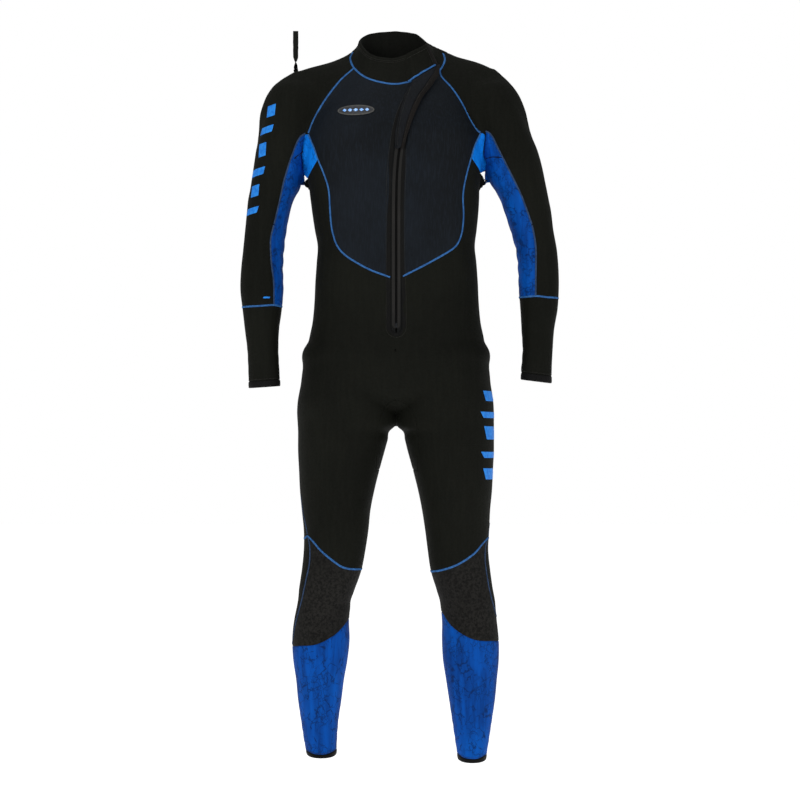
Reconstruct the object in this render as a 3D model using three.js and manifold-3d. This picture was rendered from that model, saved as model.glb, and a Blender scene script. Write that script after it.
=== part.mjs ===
// Full-length neoprene wetsuit with a front zip, standing on its ankle openings.
// Millimetres, +Z up, front towards -Y, wearer's right towards -X.
// The body is a soft union of tubes; its shell is cut into panels along the seams.
import * as THREE from 'three';
import { mergeVertices } from 'three/addons/utils/BufferGeometryUtils.js';
import Module from 'manifold-3d';

const wasm = await Module();
wasm.setup();
const { Manifold, CrossSection } = wasm;

// ---------------------------------------------------------------- driving sizes
const SHEET = 5;        // neoprene thickness
const SEAM_GAP = 0.5;   // clear gap between two neighbouring panels
const SPLIT_Y = 4;      // plane that parts front outlines from back outlines
const BEYOND = 600;     // further than the suit reaches from y = 0, either way
const FACET = 1.6;      // tolerance when the panels are simplified
const RIM = { z: 1429, slope: 0.62 };   // collar rim plane: z + slope * y

// Grid on which the body surface is meshed.
const GRID = {
  edge: 40,
  stretch: 2.2,         // facets are this much longer up and down
  tolerance: 0.05,
  x: 345, y: 145, zLow: -50, zHigh: 1505,
};

// ---------------------------------------------------------------- body sections
// Rows of each tube: [z, x right edge, x left edge, y front, y back].
// Squareness is the exponent of the section's superellipse.
const SECTIONS = {
  torso: { squareness: 2.35, rows: [
    [690,-6,6,-6,20], [700,-28,28,-34,52], [716,-60,62,-62,84], [740,-105,106,-82,108],
    [770,-150,152,-93,118], [800,-176,178,-98.5,120], [835,-174,178,-101.7,114],
    [875,-166,170,-103.2,102], [915,-162,166,-104.6,91], [955,-160,164,-106,85],
    [995,-157,161,-107.4,82], [1025,-155,158,-108.4,82], [1060,-161,162,-109.7,86],
    [1100,-167,166,-111,92], [1140,-172,168,-112.5,99], [1180,-177,171,-113.9,104],
    [1220,-178,172,-115.3,108], [1255,-171,167,-116.4,109], [1300,-150,148,-103,105],
    [1335,-122,122,-89,98], [1365,-99,100,-77,88], [1390,-86,88,-70,78],
    [1410,-80,80,-66,72], [1430,-75,68,-64,67], [1450,-71,61,-62,65], [1500,-68,57,-60,63],
  ] },
  yoke: { squareness: 2.5, rows: [
    [1225,-262,258,2,14], [1250,-262,256,-14,32], [1280,-262,252,-36,52],
    [1310,-256,247,-50,62], [1335,-246,237,-52,64], [1354,-231,223,-48,62],
    [1369,-212,210,-42,58], [1383,-178,193,-34,52], [1395,-134,166,-26,46],
    [1407,-104,124,-18,40], [1420,-82,96,-10,32], [1435,-60,60,0,24],
  ] },
  armRight: { squareness: 2.1, rows: [
    [700,-292,-229,-52,4], [740,-292,-229,-52,4], [780,-293,-231,-52,6],
    [820,-295,-233,-52,12], [860,-300,-232,-52,20], [900,-305,-227,-52,30],
    [940,-310,-224,-50,40], [980,-309,-225,-46,46], [1020,-305,-223,-42,50],
    [1060,-301,-218,-42,54], [1100,-297,-210,-44,58], [1120,-295,-204,-45,60],
    [1140,-291,-193,-47,62], [1160,-288,-186,-48,64], [1180,-285,-181,-50,66],
    [1220,-279,-170,-54,69], [1260,-270,-158,-56,70], [1300,-262,-150,-56,68],
    [1332,-248,-152,-50,60], [1350,-234,-164,-38,50], [1360,-220,-176,-18,34],
    [1368,-206,-194,0,16],
  ] },
  armLeft: { squareness: 2.1, rows: [
    [700,249,311,-52,4], [740,249,311,-52,4], [780,250,311,-52,6], [820,253,313,-52,12],
    [860,251,316,-52,20], [900,249,323,-52,30], [940,246,326,-50,40], [980,245,326,-46,46],
    [1020,241,323,-42,50], [1060,230,316,-42,54], [1100,217,311,-44,58],
    [1120,210,307,-45,60], [1140,199,303,-47,62], [1160,186,299,-48,64],
    [1180,178,295,-50,66], [1220,164,284,-54,69], [1260,152,267,-56,70],
    [1300,144,253,-56,68], [1332,148,237,-50,60], [1350,160,224,-38,50],
    [1360,174,214,-18,34], [1368,192,204,0,16],
  ] },
  legRight: { squareness: 2.1, rows: [
    [-60,-176,-118,-37,42], [6,-177,-118,-37,42], [40,-183,-117,-36,42],
    [80,-189,-114,-36,46], [120,-195,-108,-38,53], [160,-199,-103,-40,61],
    [200,-205,-96,-43,67], [240,-207,-92,-45,68], [280,-203,-93,-48,64],
    [300,-199,-91,-50,60], [320,-195,-89,-54,55], [340,-193,-82,-58,50],
    [380,-187,-68,-65,46], [420,-183,-60,-68,52], [460,-183,-54,-72,60],
    [500,-187,-50,-77,70], [540,-191,-42,-81,79], [580,-193,-32,-84,87],
    [620,-195,-22,-86,94], [640,-195,-17,-88,98], [660,-195,-12,-89,103],
    [696,-197,-8,-92,111], [715,-196,-5,-94,115], [750,-190,-4,-95,119],
    [790,-184,-6,-92,116], [830,-168,-24,-76,92], [850,-130,-60,-40,50],
  ] },
  legLeft: { squareness: 2.1, rows: [
    [-60,124,182,-37,42], [6,124,182,-37,42], [40,119,187,-36,42], [80,113,193,-36,46],
    [120,107,199,-38,53], [160,101,203,-40,61], [200,95,207,-43,67], [240,93,207,-45,68],
    [280,93,203,-48,64], [300,91,201,-50,60], [320,88,199,-54,55], [340,82,195,-58,50],
    [380,70,189,-65,46], [420,64,185,-68,52], [460,59,187,-72,60], [500,53,189,-77,70],
    [540,45,193,-81,79], [580,35,195,-84,87], [620,24,197,-86,94], [640,19,197,-88,98],
    [660,13,197,-89,103], [696,9,197,-92,111], [715,6,196,-94,115], [750,5,191,-95,119],
    [790,6,186,-92,116], [830,24,170,-76,92], [850,60,130,-40,50],
  ] },
};

// Softness of the joins between the tubes: [z, blend width].
const BLEND = {
  arms: [[1120, 3], [1165, 4], [1215, 20], [1290, 34], [1400, 26], [1440, 14]],
  crotch: [[600, 2], [690, 4], [740, 14]],
  hips: [[600, 3], [690, 8], [740, 22], [800, 30], [900, 20]],
};

// ---------------------------------------------------------------- seam lines
// Points are [x, z] seen square on. Arm and leg outlines run out past the body to the
// outer ends given here.
const SEAMS = {
  right: {
    collarFoot: [[-131.1,1420.6], [-85,1415.8]],
    collarSide: [[-85,1415.8], [-90.7,1401.9], [-82.2,1377.9]],
    neckFront: [[-82.2,1377.9], [-59.9,1356], [-30.3,1344.3], [-0.8,1339.8], [24.7,1344.1]],
    shoulderFront: [[-82.2,1377.9], [-108.8,1353.5], [-135.4,1319.4], [-154.1,1290.2],
      [-165.2,1268.5], [-173.2,1246.8]],
    shoulderBack: [[-61,1404], [-99,1360], [-131,1320], [-157,1280], [-173.2,1246.8]],
    sleeveHead: [[-178.2,1243], [-180.2,1480.7]],
    // underarm gusset: body edge, lower edge, arm edge
    gussetBody: [[-173.2,1246.8], [-167.7,1234.3], [-160.6,1217.1], [-153.2,1194.4]],
    gussetLow: [[-153.2,1194.4], [-175.6,1162.4], [-182.2,1156.4]],
    gussetArm: [[-182.2,1156.4], [-182.4,1182.7], [-183.4,1215.9], [-178.2,1243]],
    // between arm and body, then down to the hip
    sideUpper: [[-182.2,1156.4], [-183.2,1140.4], [-189.2,1100.3], [-190.2,1070.3]],
    sideElbow: [[-190.2,1070.3], [-191.2,1000.2]],
    sideLow: [[-195.2,906.2], [-205.2,840.1], [-206.2,820.1]],
    upperArm: [[-178.2,1243], [-186,1240.7], [-199.6,1218.7], [-210.7,1187.1],
      [-220.7,1153.7], [-229.5,1114.6], [-237.5,1080.9], [-240.9,1067]],
    elbow: [[-240.9,1067], [-247.6,1037.3], [-245.5,987.6], [-241.4,955.9], [-240.6,908.2]],
    elbowFootOuter: [[-240.6,908.2], [-271.7,905.8], [-303.2,904.9], [-351.3,902.2]],
    elbowFootInner: [[-240.6,908.2], [-224,906.2], [-195.2,906.2]],
    forearmInner: [[-205.2,840.1], [-208.2,758]],
    wrist: [[-225.2,761], [-286.3,756.7], [-351.3,754]],
    cuffEnd: [[-208.2,762], [-208.2,749], [-225.2,748], [-286.3,743.8], [-351.3,740]],
    armOuterX: -351.3,
    zipEdge: [[38.5,1347.8], [38,1340.2], [22.3,1310.8], [10.6,1282], [4.1,1255.8],
      [1.5,1220.9], [-1.3,1178.1], [-5,1110.1], [-8.3,1012.8], [-9.1,960.6]],
    chestLow: [[-43.8,972], [-71.2,986], [-98.8,1004.1], [-115.3,1024.2], [-125,1055.9],
      [-128.5,1093.1], [-131.4,1134.2], [-142.3,1168.1], [-153.2,1194.4]],
    crotch: [[0.2,745.5], [-14.6,742.6], [-26.4,731.8], [-31.4,712.1], [-33.4,680.5],
      [-34.5,633]],
    crotchLeg: [[-34.5,633], [-37.1,581]],
    hipOuterX: -221.2,
    thighInner: [-1,579.9],
    thighOuterX: -221.2,
    kneeTop: [[-185.2,445.8], [-148.8,418.2], [-109.3,392.8], [-89.8,386.1],
      [-63.1,381.7], [1,369.7]],
    kneeOuter: [[-185.2,445.8], [-183.2,437.7], [-171.2,411.2], [-175.2,383.3],
      [-183.5,323.1], [-194.1,297.8], [-202.6,264.9], [-207.2,227.6]],
    kneeLow: [[1,339.7], [-67.1,311.6], [-91.1,283.6], [-100.5,272], [-119.9,254],
      [-159.3,234.8], [-207.2,227.6]],
    calfTopOuter: [-241.2,221.6],
    ankle: [[-91.1,19.4], [-122.4,16], [-145.7,16.8], [-174.2,16.9], [-191.2,17.4],
      [-231.2,23.4]],
    hemZ: 0,
  },
  left: {
    collarFoot: [[139.1,1420.6], [94.9,1413.2]],
    collarSide: [[94.9,1413.2], [98.6,1396.8], [88.3,1373.8]],
    neckFront: [[72.2,1363.5], [88.3,1373.8]],
    shoulderFront: [[88.3,1373.8], [90.1,1360.9], [111.8,1336.8], [131.6,1307.1],
      [147.3,1275.1], [161.3,1254.1], [169.4,1248.7]],
    shoulderBack: [[69,1404], [103,1360], [133,1320], [157,1280], [169.4,1248.7]],
    sleeveHead: [[178.3,1242.8], [180.2,1480.7]],
    gussetBody: [[169.4,1248.7], [157.1,1223.4], [149.9,1198.7]],
    gussetLow: [[149.9,1198.7], [174.5,1168.4], [179.2,1156.4]],
    gussetArm: [[179.2,1156.4], [178.5,1186.6], [176.7,1216.1], [178.3,1242.8]],
    sideUpper: [[179.2,1156.4], [185.2,1130.4], [193.2,1100.3], [199.2,1070.3]],
    sideElbow: [[199.2,1070.3], [205.2,1000.2]],
    sideLow: [[207.2,926.2], [219.2,840.1], [221.2,820.1]],
    upperArm: [[178.3,1242.8], [187.1,1240.4], [202.8,1218.4], [218.7,1186.9],
      [234.6,1155.4], [250.6,1122], [266.5,1078.6], [270.5,1066.7]],
    elbow: [[270.5,1066.7], [276.5,1037], [278.5,1011.3], [277.8,967.4], [277.2,925.7]],
    elbowFootOuter: [[277.2,925.7], [299.8,923.4], [327.3,922.8], [369.3,920.2]],
    elbowFootInner: [[277.2,925.7], [245.2,925], [207.2,926.2]],
    forearmInner: [[219.2,840.1], [225.2,776]],
    wrist: [[245.2,775], [313.3,767], [369.3,760]],
    cuffEnd: [[225.2,777.1], [225.2,763], [245.2,761], [313.3,753], [369.3,746]],
    armOuterX: 369.3,
    zipEdge: [[13.6,1012.8], [16.9,1110.1], [20.5,1178.2], [23.3,1220.9], [25.9,1255.9],
      [34.8,1282.2], [46.6,1311.2], [62.5,1341.3]],
    chestLow: [[13.3,961], [52,980.8], [93.2,1003.8], [118.9,1022.3], [130.1,1046.3],
      [134.2,1081.7], [132.8,1120.8], [138.4,1156.5], [149.9,1198.7]],
    crotch: [[0.2,745.5], [14.9,742.6], [26.7,731.8], [32.7,712.1], [35.6,680.5],
      [38.6,633]],
    crotchLeg: [[38.6,633], [41.9,581.1]],
    hipOuterX: 233.2,
    thighInner: [1,579.9],
    thighOuterX: 221.2,
    kneeTop: [[187.2,445.8], [151,414.3], [121.3,394.8], [84.2,381.6], [69.1,377.7],
      [1,369.7]],
    kneeOuter: [[187.2,445.8], [181.9,437.9], [181.7,402.3], [189.9,342.3],
      [200.7,290.6], [207.2,237.6]],
    kneeLow: [[1,339.7], [69.1,319.6], [89.1,299.6], [108.3,273.1], [137.7,252.7],
      [167.5,242.6], [207.2,237.6]],
    calfTopOuter: [241.2,229.6],
    ankle: [[89.1,15.4], [117.1,9.4], [132.3,10.1], [155.8,10.8], [185.2,9.4],
      [233.2,15.4]],
    hemZ: -4,
  },
};
const NECK_BACK = [[-61,1404], [-31,1398], [3,1396], [37,1398], [69,1404]];
const NECK_FRONT_MIDDLE = [48.3,1351.1];
const BACK_SEAM = [[-191,996], [-167,976], [-87,944], [3,928], [89,944], [177,976], [205,996]];
const ZIP_SLOT = [[13.1,915.4], [13.1,860.7], [10.2,851], [2,846.1], [-6.2,851],
  [-9.2,860.7], [-9.2,915.4], [-8.6,959.4]];
// Heights at which outlines meet their outer or middle limits.
const LEVEL = {
  collarTop: 1500.7, shoulderTop: 1480.7, elbowTop: 1070.3, hipTop: 820.1,
  hipTopMiddle: 817.8, thighTop: 631.9, kneeTopOuter: 471.8, ankleMiddle: 15.4,
};
const HIP_MIDDLE_X = 0.2;
const CALF_MIDDLE_X = 1;
const HEM_OVERSHOOT = 0.6;   // ankle hem outlines end this far below the trimmed hem

// ---------------------------------------------------------------- body surface
const SAMPLE_LOW = -80;
const SAMPLE_COUNT = 1601;   // one sample per millimetre of height

// Smooth curves through the section rows, sampled at every millimetre.
function sampleTube({ squareness, rows }) {
  const heights = rows.map((row) => row[0]);
  const last = rows.length - 1;
  const spans = heights.slice(1).map((z, i) => z - heights[i]);
  const columns = [1, 2, 3, 4].map((column) => {
    const values = rows.map((row) => row[column]);
    const slopes = spans.map((span, i) => (values[i + 1] - values[i]) / span);
    const tangents = values.map((_, i) => {
      if (i === 0) return slopes[0];
      if (i === last) return slopes[last - 1];
      return (slopes[i - 1] * spans[i] + slopes[i] * spans[i - 1]) / (spans[i] + spans[i - 1]);
    });
    const samples = new Float64Array(SAMPLE_COUNT);
    for (let k = 0; k < SAMPLE_COUNT; k++) {
      const z = Math.min(Math.max(SAMPLE_LOW + k, heights[0]), heights[last]);
      let i = 0;
      while (i < last - 1 && z >= heights[i + 1]) i++;
      const t = (z - heights[i]) / spans[i];
      const t2 = t * t;
      const t3 = t2 * t;
      samples[k] = (2 * t3 - 3 * t2 + 1) * values[i]
        + (t3 - 2 * t2 + t) * spans[i] * tangents[i]
        + (-2 * t3 + 3 * t2) * values[i + 1]
        + (t3 - t2) * spans[i] * tangents[i + 1];
    }
    return samples;
  });
  return { squareness, columns, bottom: heights[0], top: heights[last] };
}
const TUBES = Object.fromEntries(
  Object.entries(SECTIONS).map(([name, section]) => [name, sampleTube(section)]));

// Straight-line interpolation in a table of [place, value], held at both ends.
function interpolate(table, place) {
  if (place <= table[0][0]) return table[0][1];
  for (let i = 1; i < table.length; i++) {
    if (place <= table[i][0]) {
      const [from, to] = [table[i - 1], table[i]];
      return from[1] + (to[1] - from[1]) * (place - from[0]) / (to[0] - from[0]);
    }
  }
  return table[table.length - 1][1];
}

// Approximate distance to one tube, negative inside.
function tubeDistance(name, x, y, z) {
  const { squareness, columns, bottom, top } = TUBES[name];
  const place = Math.min(Math.max(z - SAMPLE_LOW, 0), SAMPLE_COUNT - 1.001);
  const i = Math.floor(place);
  const f = place - i;
  const edge = (column) => columns[column][i] * (1 - f) + columns[column][i + 1] * f;
  const right = edge(0);
  const left = edge(1);
  const front = edge(2);
  const back = edge(3);
  const halfWidth = Math.max((left - right) / 2, 1);
  const halfDepth = Math.max((back - front) / 2, 1);
  const dx = x - (left + right) / 2;
  const dy = y - (back + front) / 2;
  const radius = Math.hypot(dx, dy) + 1e-6;
  const reach = Math.pow(Math.pow(Math.abs(dx) / halfWidth, squareness)
    + Math.pow(Math.abs(dy) / halfDepth, squareness), 1 / squareness) + 1e-9;
  return radius * (1 - 1 / reach) + Math.max(z - top, 0) + Math.max(bottom - z, 0);
}

function softUnion(a, b, width) {
  const h = Math.min(Math.max(0.5 + 0.5 * (b - a) / width, 0), 1);
  return b * (1 - h) + a * h - width * h * (1 - h);
}

// Approximate distance to the whole body, negative inside.
function body(x, y, z) {
  const tube = (name) => tubeDistance(name, x, y, z);
  const armBlend = interpolate(BLEND.arms, z);
  let upper = tube('torso');
  for (const name of ['yoke', 'armRight', 'armLeft']) {
    upper = softUnion(upper, tube(name), armBlend);
  }
  const legs = softUnion(tube('legRight'), tube('legLeft'), interpolate(BLEND.crotch, z));
  return softUnion(upper, legs, interpolate(BLEND.hips, z));
}

function bodyNormal(x, y, z) {
  const e = 0.8;
  const gradient = [
    body(x + e, y, z) - body(x - e, y, z),
    body(x, y + e, z) - body(x, y - e, z),
    body(x, y, z + e) - body(x, y, z - e),
  ];
  const length = Math.hypot(...gradient) || 1;
  return gradient.map((v) => v / length);
}

// y of the front surface at (x, z)
function frontY(x, z) {
  const start = -170;
  const stride = 4;
  let outside = start;
  let inside = SPLIT_Y;
  for (let y = start; y <= SPLIT_Y; y += stride) {
    if (body(x, y, z) < 0) {
      inside = y;
      outside = y - stride;
      break;
    }
  }
  for (let i = 0; i < 30; i++) {
    const middle = (outside + inside) / 2;
    if (body(x, middle, z) < 0) inside = middle;
    else outside = middle;
  }
  return inside;
}

// Surface point and normal in a level direction from the neck's axis.
function neckSurface(dirX, dirY, z, farRadius) {
  let inside = 20;
  let outside = farRadius;
  for (let i = 0; i < 40; i++) {
    const middle = (inside + outside) / 2;
    if (body(dirX * middle, dirY * middle, z) < 0) inside = middle;
    else outside = middle;
  }
  const x = dirX * inside;
  const y = dirY * inside;
  return { x, y, normal: bodyNormal(x, y, z) };
}

// ---------------------------------------------------------------- scene
const MATERIALS = {
  black: { color: 0x161713, roughness: 0.85 },
  navy: { color: 0x18202a, roughness: 0.85 },
  blue: { color: 0x0a55b4, roughness: 0.75 },
  knee: { color: 0x232322, roughness: 0.92 },
  lining: { color: 0x101114, roughness: 0.95 },
  binding: { color: 0x0c0c0c, roughness: 0.8 },
  tape: { color: 0x15171a, roughness: 0.8 },
  chain: { color: 0x1b1c1f, roughness: 0.45 },
  metal: { color: 0x2a2b2e, roughness: 0.35, metalness: 0.8 },
  badge: { color: 0x6f7378, roughness: 0.6 },
  hook: { color: 0x111111, roughness: 0.95 },
};

const suit = new THREE.Group();
suit.name = 'wetsuit';

// Adds the largest connected part of a solid to the suit.
function addPiece(name, solid, material) {
  const parts = solid.decompose();
  parts.sort((a, b) => b.volume() - a.volume());
  const { numProp, vertProperties, triVerts } = parts[0].getMesh();
  const count = vertProperties.length / numProp;
  const positions = new Float32Array(count * 3);
  for (let i = 0; i < count; i++) {
    for (let c = 0; c < 3; c++) positions[i * 3 + c] = vertProperties[i * numProp + c];
  }
  let geometry = new THREE.BufferGeometry();
  geometry.setAttribute('position', new THREE.BufferAttribute(positions, 3));
  geometry.setIndex(new THREE.BufferAttribute(new Uint32Array(triVerts), 1));
  geometry = mergeVertices(geometry, 1e-5);
  geometry.computeVertexNormals();
  const mesh = new THREE.Mesh(geometry, new THREE.MeshStandardMaterial(MATERIALS[material]));
  mesh.name = name;
  suit.add(mesh);
}

const box = (x0, x1, y0, y1, z0, z1) =>
  Manifold.cube([x1 - x0, y1 - y0, z1 - z0]).translate([x0, y0, z0]);
const reversed = (points) => [...points].reverse();

// ---------------------------------------------------------------- shell and panels
function makeShell() {
  const outer = Manifold.levelSet(
    (p) => -body(p[0], p[1], p[2] * GRID.stretch),
    {
      min: [-GRID.x, -GRID.y, GRID.zLow / GRID.stretch],
      max: [GRID.x, GRID.y, GRID.zHigh / GRID.stretch],
    },
    GRID.edge, 0, GRID.tolerance,
  ).scale([1, 1, GRID.stretch]);
  const inner = outer.warp((v) => {
    const normal = bodyNormal(v[0], v[1], v[2]);
    for (let c = 0; c < 3; c++) v[c] -= SHEET * normal[c];
  });
  return outer.subtract(inner);
}
const shell = makeShell();

// Solid standing on an [x, z] outline from y0 to y1, drawn in by half a seam gap.
function prism(outline, y0, y1) {
  return new CrossSection([outline], 'NonZero')
    .offset(-SEAM_GAP / 2, 'Miter', 3)
    .extrude(y1 - y0)
    .rotate([90, 0, 0])
    .translate([0, y1, 0]);
}

function region({ both, front, back }) {
  if (both) return prism(both, -BEYOND, BEYOND);
  if (front && back) {
    return prism(front, -BEYOND, SPLIT_Y).add(prism(back, SPLIT_Y, BEYOND));
  }
  if (front) return prism(front, -BEYOND, SPLIT_Y - SEAM_GAP / 2);
  return prism(back, SPLIT_Y + SEAM_GAP / 2, BEYOND);
}

const cutPanel = (outlines) => shell.intersect(region(outlines));

// Joins runs of points into one closed outline, keeping shared end points once.
function join(...runs) {
  return runs.flat().filter((point, i, all) => {
    const next = all[(i + 1) % all.length];
    return point[0] !== next[0] || point[1] !== next[1];
  });
}

// The panels that come in pairs: [name, material, outlines].
function pairedPanels(side, s) {
  const shoulderStart = [[s.collarFoot[0][0], LEVEL.shoulderTop]];
  const chest = side === 'right'
    ? join(s.neckFront, s.zipEdge, s.chestLow, reversed(s.gussetBody), reversed(s.shoulderFront))
    : join(s.neckFront, s.shoulderFront, s.gussetBody, reversed(s.chestLow), s.zipEdge);
  const elbowTopOuter = [s.armOuterX, LEVEL.elbowTop];
  const thigh = join([[s.thighOuterX, LEVEL.thighTop]], s.crotchLeg, [s.thighInner],
    reversed(s.kneeTop), [[s.thighOuterX, LEVEL.kneeTopOuter]]);
  const kneeStart = [[s.thighOuterX, LEVEL.kneeTopOuter]];
  return [
    ['chest_panel', 'navy', { front: chest }],
    ['shoulder', 'black', {
      front: join(shoulderStart, s.collarFoot, s.collarSide, s.shoulderFront, s.sleeveHead),
      back: join(shoulderStart, s.collarFoot, s.shoulderBack, s.sleeveHead),
    }],
    ['underarm_gusset', 'blue', { both: join(s.gussetBody, s.gussetLow, s.gussetArm) }],
    ['sleeve_upper', 'black', {
      both: join(reversed(s.sleeveHead), s.upperArm,
        [elbowTopOuter, [s.armOuterX, LEVEL.shoulderTop]]),
    }],
    ['underarm_panel', 'blue', {
      both: join(s.upperArm, reversed(s.sideUpper), s.gussetArm),
    }],
    ['elbow_outer', 'black', { both: join([elbowTopOuter], s.elbow, s.elbowFootOuter) }],
    ['elbow_inner', 'blue', {
      both: join(s.elbow, s.elbowFootInner, reversed(s.sideElbow)),
    }],
    ['forearm', 'black', {
      both: join(reversed(s.elbowFootOuter), s.elbowFootInner, s.forearmInner, s.wrist),
    }],
    ['cuff_hem', 'binding', { both: join(reversed(s.wrist), s.cuffEnd) }],
    ['hip_panel', 'black', {
      both: join([[s.hipOuterX, LEVEL.hipTop], [HIP_MIDDLE_X, LEVEL.hipTopMiddle]],
        s.crotch, [[s.hipOuterX, LEVEL.thighTop]]),
    }],
    ['thigh_front', 'black', { front: thigh }],
    ['thigh_back', 'black', { back: thigh }],
    ['knee_pad', 'knee', { front: join(s.kneeTop, s.kneeLow, reversed(s.kneeOuter)) }],
    ['knee_back', 'black', {
      front: join(kneeStart, s.kneeOuter, [s.calfTopOuter]),
      back: join(kneeStart, s.kneeTop, s.kneeLow, [s.calfTopOuter]),
    }],
    ['calf_panel', 'blue', {
      both: join([s.calfTopOuter], reversed(s.kneeLow),
        [[CALF_MIDDLE_X, LEVEL.ankleMiddle]], s.ankle),
    }],
  ];
}

function ankleHem(s) {
  const z = s.hemZ - HEM_OVERSHOOT;
  const outline = join(reversed(s.ankle), [[s.ankle[0][0], z], [s.ankle.at(-1)[0], z]]);
  return cutPanel({ both: outline }).trimByPlane([0, 0, 1], s.hemZ);
}

for (const [side, seams] of Object.entries(SEAMS)) {
  for (const [name, material, outlines] of pairedPanels(side, seams)) {
    addPiece(`${name}_${side}`, cutPanel(outlines).simplify(FACET), material);
  }
  addPiece(`ankle_hem_${side}`, ankleHem(seams).simplify(FACET), 'binding');
}

// The panels that span both sides.
const { right: R, left: L } = SEAMS;
const MIDDLE_PANELS = {
  abdomen_panel: { front: join(
    R.gussetLow, R.sideUpper, R.sideElbow, R.sideLow,
    reversed(L.sideLow), reversed(L.sideElbow), reversed(L.sideUpper), reversed(L.gussetLow),
    reversed(L.chestLow), ZIP_SLOT, R.chestLow) },
  back_upper_panel: { back: join(
    NECK_BACK, L.shoulderBack, L.gussetBody, L.gussetLow, L.sideUpper, L.sideElbow,
    reversed(BACK_SEAM), reversed(R.sideElbow), reversed(R.sideUpper),
    reversed(R.gussetLow), reversed(R.gussetBody), reversed(R.shoulderBack)) },
  back_lower_panel: { back: join(BACK_SEAM, L.sideLow, reversed(R.sideLow)) },
  crotch_gusset: { both: join(
    R.crotch, R.crotchLeg, reversed(L.crotchLeg), reversed(L.crotch)) },
};
for (const [name, outlines] of Object.entries(MIDDLE_PANELS)) {
  addPiece(name, cutPanel(outlines).simplify(FACET), 'black');
}

// ---------------------------------------------------------------- collar
// Turned about the neck, so that the closure can lie close to it.
const NECK = { segments: 22, rows: 9, zLow: 1330, zHigh: 1474, farRadius: 190, overlap: 3 };

// Stack of slabs that follows the neck at a depth below its surface.
function neckSolid(depth) {
  const drum = Manifold.cylinder(1, 1, 1, NECK.segments);
  const height = NECK.zHigh - NECK.zLow;
  const slabs = Array.from({ length: NECK.rows }, (_, k) => {
    const zBottom = NECK.zLow + height * k / NECK.rows;
    const zTop = NECK.zLow + height * (k + 1) / NECK.rows;
    return drum.warp((v) => {
      const z = v[2] < 0.5 ? zBottom : zTop;
      const length = Math.hypot(v[0], v[1]);
      v[2] = z;
      if (length < 1e-6) return;
      const { x, y, normal } = neckSurface(v[0] / length, v[1] / length, z, NECK.farRadius);
      v[0] = x - normal[0] * depth;
      v[1] = y - normal[1] * depth;
    });
  });
  return slabs.reduce((stack, slab) => stack.add(slab));
}

function collar() {
  const hollow = neckSolid(SHEET);
  const wall = neckSolid(0).subtract(hollow.add(hollow.translate([0, 0, NECK.overlap])));
  const start = [[R.collarFoot[0][0], LEVEL.collarTop]];
  const end = [[L.collarFoot[0][0], LEVEL.collarTop]];
  const front = join(start, R.collarFoot, R.collarSide, R.neckFront, [NECK_FRONT_MIDDLE],
    L.neckFront, reversed(L.collarSide), reversed(L.collarFoot), end);
  const back = join(start, R.collarFoot, NECK_BACK, reversed(L.collarFoot), end);
  // only the part under the rim plane stays
  const length = Math.hypot(1, RIM.slope);
  return wall.intersect(region({ front, back }))
    .trimByPlane([0, RIM.slope / length, -1 / length], -RIM.z / length);
}
addPiece('collar', collar(), 'black');

// ---------------------------------------------------------------- zip
const ZIP = {
  xTurn: 1.58, zTurn: 915, radius: 4330,         // arc of the zip seen from the front
  yBottom: -103.2, zBottom: 875, lean: -0.0347,  // it leans forward going up
  gapHalf: 2.2, tapeHalf: 10.3,                  // sideways edges of the tapes
  tapeIn: 0.8, tapeOut: 2.8,                     // front and back faces, behind the zip line
  zLow: 862, zTop: 1340,
  zStraight: 1256,                               // above this it follows ZIP_CURVE
};
// Upper end of the zip: [z, x].
const ZIP_CURVE = [[1256, 15.0], [1270, 19.1], [1282, 22.7], [1296.5, 28.5], [1311, 34.4],
  [1325.7, 42.3], [1340.6, 50.2], [1354, 57.7]];

function zipX(z) {
  if (z >= ZIP.zStraight) return interpolate(ZIP_CURVE, z);
  return ZIP.xTurn + (z - ZIP.zTurn) ** 2 / (2 * ZIP.radius);
}
function zipY(z, x) {
  if (z >= ZIP.zStraight) return frontY(x, z);
  return ZIP.yBottom + ZIP.lean * (z - ZIP.zBottom);
}

// Strip along the zip: ranges of height, of sideways offset and of y from the zip line.
function alongZip({ z: [z0, z1], side: [x0, x1], y: [y0, y1], steps = 18 }) {
  const heights = Array.from({ length: steps + 1 }, (_, i) => z0 + (z1 - z0) * i / steps);
  const edge = (offset) => heights.map((z) => [zipX(z) + offset, z]);
  return new CrossSection([[...edge(x0), ...reversed(edge(x1))]], 'NonZero')
    .extrude(y1 - y0)
    .rotate([90, 0, 0])
    .translate([0, y1, 0])
    .refineToLength(50)
    .warp((v) => {
      v[1] += zipY(v[2], v[0]);
    });
}

const fullLength = [ZIP.zLow, ZIP.zTop];
addPiece('zip_tape_right', alongZip({
  z: fullLength, side: [-ZIP.tapeHalf, -ZIP.gapHalf], y: [ZIP.tapeIn, ZIP.tapeOut],
}), 'tape');
addPiece('zip_tape_left', alongZip({
  z: fullLength, side: [ZIP.gapHalf, ZIP.tapeHalf], y: [ZIP.tapeIn, ZIP.tapeOut],
}), 'tape');
addPiece('zip_chain', alongZip({
  z: [ZIP.zLow + 9, ZIP.zTop - 5], side: [-1.7, 1.7], y: [ZIP.tapeIn + 0.1, ZIP.tapeOut],
}), 'chain');
addPiece('zip_bottom_stop', alongZip({
  z: [ZIP.zLow, ZIP.zLow + 8.4], side: [-1.9, 1.9], y: [ZIP.tapeIn - 1.4, ZIP.tapeOut],
  steps: 2,
}), 'metal');
addPiece('zip_top_stop', alongZip({
  z: [ZIP.zTop - 4.4, ZIP.zTop], side: [-1.9, 1.9], y: [ZIP.tapeIn - 0.9, ZIP.tapeOut],
  steps: 2,
}), 'metal');

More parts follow.
